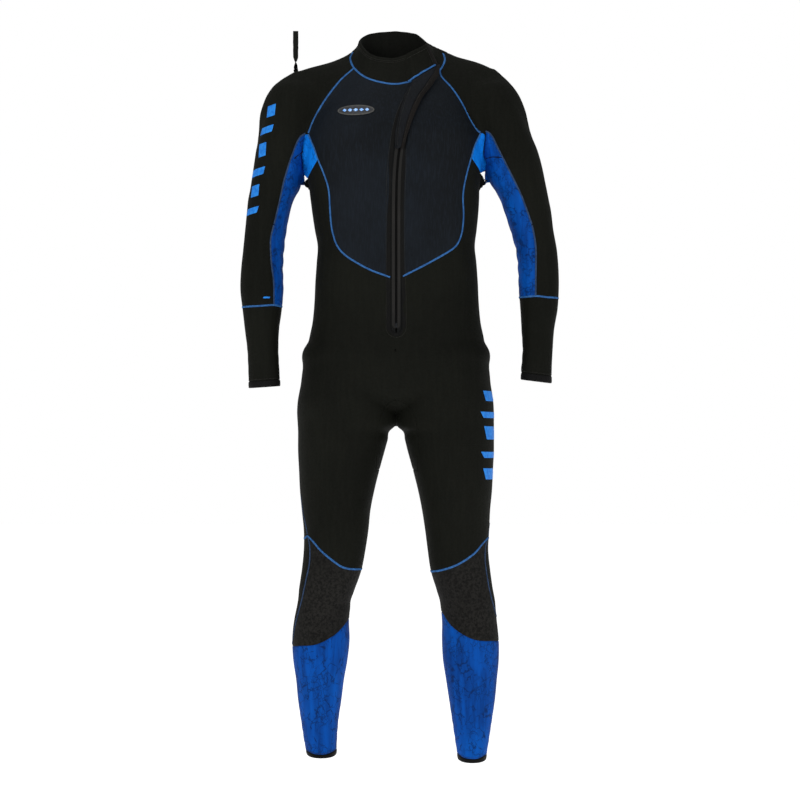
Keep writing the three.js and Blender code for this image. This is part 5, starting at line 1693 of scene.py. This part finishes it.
def assemble(name, parts, mat):
    """Joins (points, faces) parts into one object."""
    mesh = bpy.data.meshes.new(name)
    faces, base = [], 0
    for points, part_faces in parts:
        faces += [[i + base for i in face] for face in part_faces]
        base += len(points)
    coords = np.concatenate([points for points, _ in parts]) * 0.001
    mesh.from_pydata([tuple(point) for point in coords], [], faces)
    mesh.validate()
    mesh.polygons.foreach_set("use_smooth", [True] * len(mesh.polygons))
    mesh.set_sharp_from_angle(angle=math.radians(35))
    add_rest(mesh, coords)
    return link_object(name, mesh, mat)


def at_slider(parts):
    """Moves parts from the slider's own axes to its place on the chest."""
    turn, tip = math.radians(SLIDER_TURN), math.radians(SLIDER_TIP)
    about_x = np.array([[1, 0, 0], [0, math.cos(tip), -math.sin(tip)],
                        [0, math.sin(tip), math.cos(tip)]])
    about_y = np.array([[math.cos(turn), 0, math.sin(turn)], [0, 1, 0],
                        [-math.sin(turn), 0, math.cos(turn)]])
    rotation = about_y @ about_x
    origin = np.array([SLIDER_X, chest_front_y(SLIDER_Z), SLIDER_Z])
    return [(points @ rotation.T + origin, faces) for points, faces in parts]


def slider_parts():
    cheeks = [rounded_box(span, (-4.35, -1.5), (-1.6, 1.6), 0.3)
              for span in ((-4.3, -3.0), (3.0, 4.3))]
    return [plate(shield(9, 13), -1.7, -0.45), plate(shield(6.4, 10), -2.05, -1.6, 0.2),
            *cheeks, pin(0.6, 4.1, PIN_Y)]


def tab_parts():
    """Leaf with four raised bars, hanging from a sleeve round the pin."""
    edge = [(-2.2, -2.2), (-2.6, -5.0), (-2.8, -9), (-2.8, -18.2), (-2.2, -19.5), (-1.2, -20)]
    leaf = edge + [(-x, z) for x, z in edge[::-1]]
    parts = [plate(leaf, PIN_Y - 0.5, PIN_Y + 0.5, 0.2)]
    for i in range(4):
        z = -7.5 - 2.8 * i
        parts.append(rounded_box((-1.7, 1.7), (PIN_Y - 0.72, PIN_Y - 0.35),
                                 (z - 0.45, z + 0.45), 0.14, segments=2))
    outer, inner, half = 1.3, 0.85, 2.6
    profile = ((-half, inner), (-half, outer), (half, outer), (half, inner))
    parts.append((rings_along_x(profile, y=PIN_Y, sides=22), ring_faces(4, 22, closed=True)))
    return parts


def stop_piece(z, height, half=1.9):
    x = float(zip_x(z))
    y = float(zip_y(np.array([x]), np.array([z]))[0])
    return rounded_box((x - half, x + half), (y + 0.2, y + 2.8),
                       (z - height / 2, z + height / 2), 0.45)


def beside_zip(offset, top_right, top_left):
    """Lines beside the zip: down its right side and round the foot, and up its left side."""
    foot, count = 862.0, 60
    down = [(float(zip_x(z)) - offset, float(z)) for z in np.linspace(top_right, foot, count)]
    x0 = float(zip_x(foot))
    down += [(x0 + offset * math.cos(angle), foot + offset * math.sin(angle))
             for angle in np.linspace(math.pi, 2 * math.pi, 22)[1:-1]]

    def drawn_in(z):
        return 2.8 * smooth_step((z - 900) / 110) + 4.4 * smooth_step((z - 1165) / 62)

    up = [(float(zip_x(z)) + offset - drawn_in(z), float(z))
          for z in np.linspace(foot, top_left, count)]
    return down, up


def make_zip():
    torso = rides("torso")
    for side in SIGN:
        stand_in(zip_strip(f"zip_tape_cloth_{side}", 851, 1340, mirrored(TAPE_SECTION, side),
                           TAPE, foot=10.9), torso, f"zip_tape_{side}")
    for side, top in (("right", 1236), ("left", 1222)):
        stand_in(zip_strip(f"zip_rib_{side}", 860, top, mirrored(RIB_SECTION, side), RIB,
                           foot=8.6), torso)
    points, faces = zip_teeth(872, 1334)
    stand_in(new_object("zip_teeth", points, [faces], TEETH, sharp_angle=40), torso,
             "zip_chain")
    stand_in(zip_strip("zip_cord_core", 871, 1335, CORD_SECTION, TEETH, sharp_angle=30), torso)
    stand_in(assemble("zip_slider_body", at_slider(slider_parts()), METAL), rides("slider"),
             "zip_slider")
    stand_in(assemble("zip_tab_body", at_slider(tab_parts()), METAL), rides("pull_tab"),
             "zip_pull_tab")
    stand_in(assemble("zip_foot_stop", [stop_piece(866.2, 8.4)], METAL), torso,
             "zip_bottom_stop")
    stand_in(assemble("zip_head_stop", [stop_piece(1337.8, 4.4)], METAL), torso,
             "zip_top_stop")


def make_zip_edge():
    """Dark band beside the zip as painted shade of the groove there, the stitching beside it,
    and the baffle behind.
    """
    torso = rides("torso")
    down, up = beside_zip(14.9, top_right=1330, top_left=1228)
    # painted shade: black strips down both sides of the zip where its groove falls into shadow
    stand_in(ribbon_object("zip_shade_band", [trace(down, step=1.0)], 3.9, 0.22, BINDING_AND_SHADE),
             torso)
    stand_in(ribbon_object("zip_turned_edge_left", [trace(down[-1:] + up, step=1.0)],
                           3.2, 0.2, BINDING_AND_SHADE), torso)
    down, up = beside_zip(19.6, top_right=1322, top_left=1214)
    stand_in(stitches("zip_edge_stitches", [trace(down + up)], height=0.42, radius=0.34), torso)
    points, normals, tris, gap, _ = cut([
        (-32, 842), (34, 842), (36, 1000), (38, 1150), (48, 1250), (62, 1318), (40, 1326),
        (2, 1316), (-18, 1250), (-30, 1150), (-32, 1000)])
    stand_in(shell("zip_baffle_cloth", points, normals, tris, -9.2 - 0.5 * np.exp(-gap), -11.6,
                   LINING), torso, "zip_baffle")


make_zip()
make_zip_edge()


# ------------------------------------------------------------------ flap over the zip
def curve(points, steps=8):
    """Smooth line through the given points."""
    points = np.array(points, float)
    lengths = np.linalg.norm(np.diff(points, axis=0), axis=1)
    place = np.concatenate([[0], np.cumsum(lengths)])
    slope = np.gradient(points, place, axis=0)
    line = []
    for i in range(len(points) - 1):
        span = place[i + 1] - place[i]
        for t in np.linspace(0, 1, steps, endpoint=False):
            line.append((2*t**3 - 3*t**2 + 1) * points[i] + (t**3 - 2*t**2 + t) * span * slope[i]
                        + (-2*t**3 + 3*t**2) * points[i+1] + (t**3 - t**2) * span * slope[i+1])
    line.append(points[-1])
    return [tuple(map(float, point)) for point in line]


# (x, z), upwards: the flap's edge towards the wearer's right, the line where its skin meets
# the edge tape, and the tape's outer edge towards the wearer's left.
FLAP_EDGE = curve([(-1.8, 1211), (-1.0, 1231), (1.4, 1252), (8.2, 1282), (16.6, 1310.4),
                   (27, 1338)])
FLAP_SEAM = curve([(10.4, 1212), (16.6, 1240), (27.2, 1275), (40.5, 1308), (57, 1335),
                   (72, 1362)])
FLAP_TAPE_EDGE = curve([(15.4, 1210.5), (24.0, 1240), (36.5, 1274), (52.4, 1310), (69, 1334),
                        (83, 1358)])
FLAP_THICK = 2.4


def flap_clearance(points):
    """Height of the flap's underside over the body, rising away from its edge."""
    return 0.5 + 4.9 * smooth_step(to_line(points, FLAP_EDGE) / 6.5)


def flap_stitch_row(shift):
    """Stitch line on the flap, moved from its edge towards the wearer's left."""
    points, normals, across = trace(FLAP_EDGE[2:-1])
    points = points + across * shift
    height = flap_clearance(points) + FLAP_THICK
    return points + normals * height[:, None], normals, across


def make_zip_flap():
    flap, cover = bends(), rides("zip_cover")
    points, normals, tris, gap, _ = cut(
        [(4.5, 1209.5)] + FLAP_SEAM + [(77, 1379), (60, 1366), (50, 1358.5), (38, 1349)]
        + FLAP_EDGE[::-1], fine=1)
    low = flap_clearance(points)
    stand_in(shell("zip_flap_skin", points, normals, tris,
                   low + FLAP_THICK - 1.0 * np.exp(-gap / 0.9), low, FLAP_SKIN,
                   sharp_angle=45), flap, "zip_flap")
    points, normals, tris, gap, _ = cut(
        FLAP_TAPE_EDGE + [(85, 1381), (77, 1380)] + FLAP_SEAM[::-1] + [(11.0, 1209.6)], fine=1)
    edge = -2.1 * np.exp(-gap / 1.3)
    stand_in(shell("zip_flap_edge_tape", points, normals, tris, 8.7 + edge, 4.9 - 0.35 * edge,
                   FLAP_TAPE, sharp_angle=60), cover, "zip_flap_binding")
    rows = [flap_stitch_row(shift) for shift in (2.2, 5.4)]
    stand_in(stitches("zip_flap_stitches", rows, height=0.38, radius=0.34), flap)
    points, normals, across = trace([(x + 2.0, z - 1.0) for x, z in FLAP_SEAM[3:-4]])
    row = points + normals * 8.55, normals, across
    stand_in(stitches("zip_flap_binding_stitches", [row]), cover)


make_zip_flap()

# ------------------------------------------------------------------ collar closure
# The closure is an overlap on the wearer's left of the neck; angles are degrees from straight
# ahead towards the left, given at its foot and at the rim.
CLOSURE_START = 15.0
CLOSURE_END = (60.5, 55)
CLOSURE_LOW, CLOSURE_HIGH = 6.4, 9.0    # heights of its two faces over the neck
CLOSURE_TAPER = 0.26                    # share of its length that rises from the collar
CLOSURE_SLIM = 0.55                     # share of the clearance lost at the rim
CLOSURE_FOOT = ([15, 20, 25, 30, 35, 40, 45, 50, 60, 65],    # degrees, then heights
                [1342.5, 1345.5, 1349.5, 1354, 1359.5, 1364, 1368.5, 1373, 1380, 1383])


def closure_foot(degrees):
    return np.interp(degrees, *CLOSURE_FOOT)


def neck_point(angle, z):
    """Surface point of the neck at an angle (radians from straight ahead towards the left)."""
    way_x, way_y = np.sin(angle), -np.cos(angle)
    inner, outer = np.full(angle.shape, 20.0), np.full(angle.shape, 130.0)
    for _ in range(34):
        radius = (inner + outer) / 2
        inside = field(np.stack([way_x * radius, way_y * radius, z], -1)) < 0
        inner, outer = np.where(inside, radius, inner), np.where(inside, outer, radius)
    return np.stack([way_x * inner, way_y * inner, z], -1)


def closure_heights(u, v):
    """Clearance under the closure and its thickness, u along it and v up it."""
    rise = smooth_step(u / CLOSURE_TAPER)
    slim = 1 - CLOSURE_SLIM * smooth_step(v)
    return (0.1 + (CLOSURE_LOW - 0.1) * rise * slim,
            (CLOSURE_HIGH - CLOSURE_LOW) * (0.15 + 0.85 * rise))


def neck_patch(name, start, end, low, high, mat, columns, rows, rounding, foot_gap=0.0,
               rim_gap=0.0, corner=0.0, wave=0.0, taper=False):
    """Sheet wrapped round the neck between two angles, from the closure's foot to the rim.

    start and end are degrees (foot, rim), low and high the heights of its faces. taper gives
    it the closure's rise from the collar. Returns the object and its grid: surface points,
    normals, height of the outer face, u, v."""
    u, v = np.meshgrid(np.linspace(0, 1, columns), np.linspace(0, 1, rows), indexing="ij")
    # rows closer together at the edges
    u = u - 0.07 * np.sin(2 * math.pi * u)
    v = v - 0.09 * np.sin(2 * math.pi * v)
    last = end[0] + (end[1] - end[0]) * v - corner * np.clip((v - 0.72) / 0.28, 0, 1)**2
    first = start[0] + (start[1] - start[0]) * v
    angle = np.radians(first + (last - first) * u)
    bottom = closure_foot(start[0] + (end[0] - start[0]) * u) + foot_gap
    top = rim_level(np.sin(angle), -np.cos(angle)) - rim_gap
    surface = neck_point(angle, bottom + (top - bottom) * v).reshape(-1, 3)
    normals = unit(gradient(surface))
    flat_u, flat_v = u.ravel(), v.ravel()
    width = np.radians(last - first).ravel() * 76    # neck radius
    edge_u = np.minimum(1e3 if taper else flat_u * width, (1 - flat_u) * width)
    edge = np.minimum(edge_u, np.minimum(flat_v, 1 - flat_v) * 40)
    if taper:
        under, thick = closure_heights(flat_u, flat_v)
    else:
        under = low * (1 - CLOSURE_SLIM * smooth_step(flat_v))
        thick = np.full(len(surface), high - low)
    sway = wave * np.sin(flat_u * 9.0 + flat_v * 3.0) * smooth_step(flat_u * 2)
    drop = np.minimum(rounding * np.exp(-np.maximum(edge, 0) / 0.8), thick * 0.6)
    outer = surface + normals * (under + thick + sway - drop)[:, None]
    inner = surface + normals * (under + sway + 0.25 * drop)[:, None]
    count = columns * rows
    index = np.arange(count).reshape(columns, rows)
    quads = np.stack([index[:-1, :-1], index[1:, :-1], index[1:, 1:], index[:-1, 1:]], -1)
    quads = quads.reshape(-1, 4)
    ring = np.concatenate([index[:-1, 0], index[-1, :-1], index[1:, -1][::-1],
                           index[0, 1:][::-1]])
    following = np.roll(ring, -1)
    wall = np.stack([following, ring, ring + count, following + count], 1)
    obj = new_object(name, np.concatenate([outer, inner]),
                     [quads, quads[:, ::-1] + count, wall], mat, sharp_angle=50)
    shape = (columns, rows)
    grid = (surface.reshape(*shape, 3), normals.reshape(*shape, 3),
            (under + thick).reshape(*shape, 1), u, v)
    return obj, grid


def closure_foot_row():
    """Traced line along the closure's foot, standing on it."""
    up = 1.6
    degrees = np.linspace(16.5, 56.5, 240)
    surface = neck_point(np.radians(degrees), closure_foot(degrees) + up)
    normals = unit(gradient(surface))
    u = (degrees - CLOSURE_START) / (CLOSURE_END[0] - CLOSURE_START)
    under, thick = closure_heights(u, np.zeros(len(u)) + up / 40)
    return traced_evenly(surface + normals * (under + thick - 0.25)[:, None], normals)


def closure_stitch_row(grid, inset):
    """Line up the closure's free end and back below the rim, on its outer face."""
    surface, normals, height, grid_u, grid_v = grid
    columns, rows = grid_u.shape
    top, count = 1 - inset / 40, 90
    u = np.concatenate([np.full(50, 0.86), np.linspace(0.86, 0.04, count)])
    v = np.concatenate([np.linspace(0.10, top, 50), np.full(count, top)])
    column = np.interp(u, grid_u[:, 0], np.arange(columns))
    row = np.interp(v, grid_v[0], np.arange(rows))
    i, j = np.minimum(column.astype(int), columns - 2), np.minimum(row.astype(int), rows - 2)
    a, b = (column - i)[:, None], (row - j)[:, None]

    def sample(values):
        return (values[i, j] * (1-a) * (1-b) + values[i+1, j] * a * (1-b)
                + values[i, j+1] * (1-a) * b + values[i+1, j+1] * a * b)

    return traced_evenly(sample(surface) + sample(normals) * sample(height),
                         unit(sample(normals)))


def below_rim_row(drop):
    """Traced line round the neck, a distance below the rim."""
    angle = np.radians(np.linspace(0, 360, 500))
    z = np.full(angle.shape, 1420.0)
    for _ in range(12):
        points = neck_point(angle, z)
        z = rim_level(points[:, 0], points[:, 1]) - drop
    points = resample(neck_point(angle, z), STITCH_STEP)
    return traced(points, unit(gradient(points)))


def make_collar_closure():
    closure = bends()
    flap, grid = neck_patch(
        "collar_flap_cloth", (CLOSURE_START, CLOSURE_START), CLOSURE_END, CLOSURE_LOW,
        CLOSURE_HIGH, BLACK, columns=56, rows=26, rounding=1.3, corner=1.0, wave=0.1,
        taper=True)
    stand_in(flap, closure, "collar_flap")
    tape, _ = neck_patch(
        "collar_flap_edge_tape", (55, 50), (61.2, 55.6), 6.15, 9.35, FLAP_TAPE,
        columns=14, rows=30, rounding=1.3, rim_gap=-0.3, corner=1.0)
    stand_in(tape, rides("collar_closure"))
    loop, _ = neck_patch(
        "collar_loop_pile", (29, 29), (54, 47), 2.4, 3.2, HOOK,
        columns=26, rows=16, rounding=0.4, foot_gap=9, rim_gap=9)
    stand_in(loop, rides("torso"), "collar_loop_patch")
    hook, _ = neck_patch(
        "collar_hook_tape", (31, 31), (52, 45), 4.6, 5.5, HOOK,
        columns=26, rows=16, rounding=0.3, foot_gap=10.5, rim_gap=10.5)
    stand_in(hook, rides("collar_closure"), "collar_hook_patch")
    flatlock("closure", closure, [closure_foot_row()])
    stand_in(stitches("collar_flap_stitches", [closure_stitch_row(grid, 7.0)]), closure)
    stand_in(stitches("collar_rim_stitches", [below_rim_row(6.5), below_rim_row(9.7)]),
             rides("torso"))


make_collar_closure()


# ------------------------------------------------------------------ hem stitches
def raised_line(line, height):
    return [(x, z + height) for x, z in line]


def make_hem_stitches(side):
    rows = [trace(raised_line(LINES[f"hem_{side}"], 2.4)),
            trace(raised_line(LINES[f"hem_back_{side}"], 2.4), back=True)]
    stand_in(stitches(f"ankle_stitches_{side}", rows), rides(f"shin_{side}"))
    upper_edge = LINES[f"cuff_{side}"][:4]
    rows = [trace(raised_line(upper_edge, 3.0), back) for back in (False, True)]
    stand_in(stitches(f"cuff_stitches_{side}", rows), rides(f"lower_arm_{side}"))


for side_ in SIGN:
    make_hem_stitches(side_)


# ------------------------------------------------------------------ badge and printed shapes
BADGE_X, BADGE_Z = -77, 1287


def oval(half_x, half_z, count=48):
    """Oval outline about the badge's middle."""
    angles = np.arange(count) * 2 * math.pi / count
    return [(BADGE_X + half_x * math.cos(angle), BADGE_Z + half_z * math.sin(angle))
            for angle in angles]


def slanted(x, z, width, height, lean, turn):
    """Slanted bar outline, turned by an angle in degrees."""
    cos, sin = math.cos(math.radians(turn)), math.sin(math.radians(turn))
    corners = [(-width / 2 - lean, -height / 2), (width / 2 - lean, -height / 2),
               (width / 2 + lean, height / 2), (-width / 2 + lean, height / 2)]
    return [(x + a * cos - b * sin, z + a * sin + b * cos) for a, b in corners]


def film(name, outline, low, high, mat, mover, rounding):
    """Thin layer on the front of the suit."""
    points, normals, tris, gap, _ = cut(outline, fine=2)
    stand_in(shell(name, points, normals, tris, high - rounding * np.exp(-gap / 0.5), low, mat,
                   sharp_angle=60), mover)


def make_badge():
    torso = rides("torso")
    points, normals, tris, gap, _ = cut(oval(36.0, 10.4), fine=2)
    outer = 1.5 - 0.5 * np.exp(-gap / 0.6) - 0.25 * smooth_step((gap - 1.1) / 0.5)
    stand_in(shell("badge_plate", points, normals, tris, outer, 0.2, BADGE_RIM,
                   sharp_angle=50), torso, "chest_badge")
    film("badge_field", oval(33.6, 8.2), 0.9, 1.45, BADGE, torso, rounding=0.15)
    half_height = 3.3
    marks = ((-22, 8.0), (-11.2, 9.2), (0.0, 9.8), (11.2, 9.2), (22, 8.0))    # place, width
    for i, (place, width) in enumerate(marks):
        x = BADGE_X + place
        diamond = [(x - width / 2, BADGE_Z), (x, BADGE_Z - half_height),
                   (x + width / 2, BADGE_Z), (x, BADGE_Z + half_height)]
        film(f"badge_mark_{i}", diamond, 1.2, 2.0, BADGE_MARK, torso, rounding=0.1)


# Columns: x, z of the middle, width, height.
SLEEVE_PRINTS = [
    (-246.162, 1293.62, 17, 22), (-255.063, 1256.038, 25, 13), (-263.964, 1216.478, 15, 26),
    (-272.865, 1172.962, 26, 14), (-278.799, 1135.38, 16, 22), (-284.733, 1095.82, 24, 12),
]
THIGH_PRINTS = [
    (185.042, 727.912, 18, 20), (186.031, 690.33, 30, 12), (188.009, 654.726, 20, 26),
    (187.02, 611.21, 30, 12), (186.031, 573.628, 20, 22),
]
TAB_PRINT = (-255.063, 922.745, 13, 3.2)


def make_print(name, bar, lean, turn, mover):
    film(name, slanted(*bar, lean, turn), -0.2, 0.28, PRINT, mover, rounding=0.1)


def make_prints():
    for i, bar in enumerate(SLEEVE_PRINTS):
        make_print(f"sleeve_print_{i}", bar, 3.5, 12, bends())
    for i, bar in enumerate(THIGH_PRINTS):
        make_print(f"thigh_print_{i}", bar, -3.5, -3, bends())
    make_print("sleeve_tab_print", TAB_PRINT, 0.8, 0, bends())


def make_armpit_shadow_and_join(side):
    """Black strip sunk into the armpit fold as painted shadow, and the seam that joins the
    gusset to the sleeve.
    """
    shoulder = bends()
    points, normals, across = trace(LINES[f"fold_{side}"], rounding=5)
    # painted shadow: a black ribbon sunk to the bottom of the fold stands for the shade inside
    # it
    sunk = (points - normals * 5.4, normals, across)
    stand_in(ribbon_object(f"fold_shadow_strip_{side}", [sunk], 1.5, 0.5, BINDING_AND_SHADE), shoulder)
    join = seam_line(f"arm_join_{side}")
    stand_in(ribbon_object(f"arm_join_{side}", [join], 0.9, 0.3, BINDING_AND_SHADE), shoulder)


make_badge()
make_prints()
for side_ in SIGN:
    make_armpit_shadow_and_join(side_)


# ------------------------------------------------------------------ studio
def make_world():
    """White for the camera, dimmer as a light on the suit."""
    world = bpy.data.worlds.new("studio")
    bpy.context.scene.world = world
    world.use_nodes = True
    tree = world.node_tree
    background = tree.nodes["Background"]
    background.inputs["Color"].default_value = (1.0, 1.0, 1.0, 1)
    path = tree.nodes.new("ShaderNodeLightPath")
    strength = tree.nodes.new("ShaderNodeMapRange")
    strength.inputs["To Min"].default_value = 0.34
    strength.inputs["To Max"].default_value = 1.0
    tree.links.new(path.outputs["Is Camera Ray"], strength.inputs["Value"])
    tree.links.new(strength.outputs[0], background.inputs["Strength"])


def make_floor(half=9, z=-0.03):
    mesh = bpy.data.meshes.new("floor")
    mesh.from_pydata([(-half, -half, z), (half, -half, z), (half, half, z), (-half, half, z)],
                     [], [(0, 1, 2, 3)])
    floor = bpy.data.objects.new("floor", mesh)
    bpy.context.scene.collection.objects.link(floor)
    mat = bpy.data.materials.new("pale_floor")
    mat.use_nodes = True
    inputs = mat.node_tree.nodes["Principled BSDF"].inputs
    inputs["Base Color"].default_value = (0.93, 0.93, 0.93, 1)
    inputs["Roughness"].default_value = 0.8
    inputs["Emission Color"].default_value = (1, 1, 1, 1)
    inputs["Emission Strength"].default_value = 0.74
    mesh.materials.append(mat)


def area_light(name, location, target, size, power):
    light = bpy.data.lights.new(name, "AREA")
    light.shape = "RECTANGLE"
    light.size, light.size_y = size
    light.energy = power
    lamp = bpy.data.objects.new(name, light)
    bpy.context.scene.collection.objects.link(lamp)
    lamp.location = location
    lamp.rotation_mode = "QUATERNION"
    lamp.rotation_quaternion = (Vector(target) - Vector(location)).to_track_quat("-Z", "Y")


def make_camera():
    camera = bpy.data.cameras.new("camera")
    camera.lens = 101.25
    camera.sensor_width = 36
    camera.clip_end = 60
    holder = bpy.data.objects.new("camera", camera)
    bpy.context.scene.collection.objects.link(holder)
    holder.location = (0.009, -4.5, 0.720)
    holder.rotation_euler = (math.pi / 2, 0, 0)
    bpy.context.scene.camera = holder


make_world()
make_floor()
area_light("key", location=(-1.6, -2.6, 2.2), target=(0, 0, 0.9), size=(1.4, 1.8), power=34)
area_light("fill", location=(2.2, -2.4, 1.2), target=(0, 0, 0.7), size=(1.2, 2.0), power=22)
area_light("top", location=(0, -0.4, 3.2), target=(0, 0, 0.7), size=(2.0, 1.2), power=16)
make_camera()
bpy.context.scene.view_settings.view_transform = "Standard"
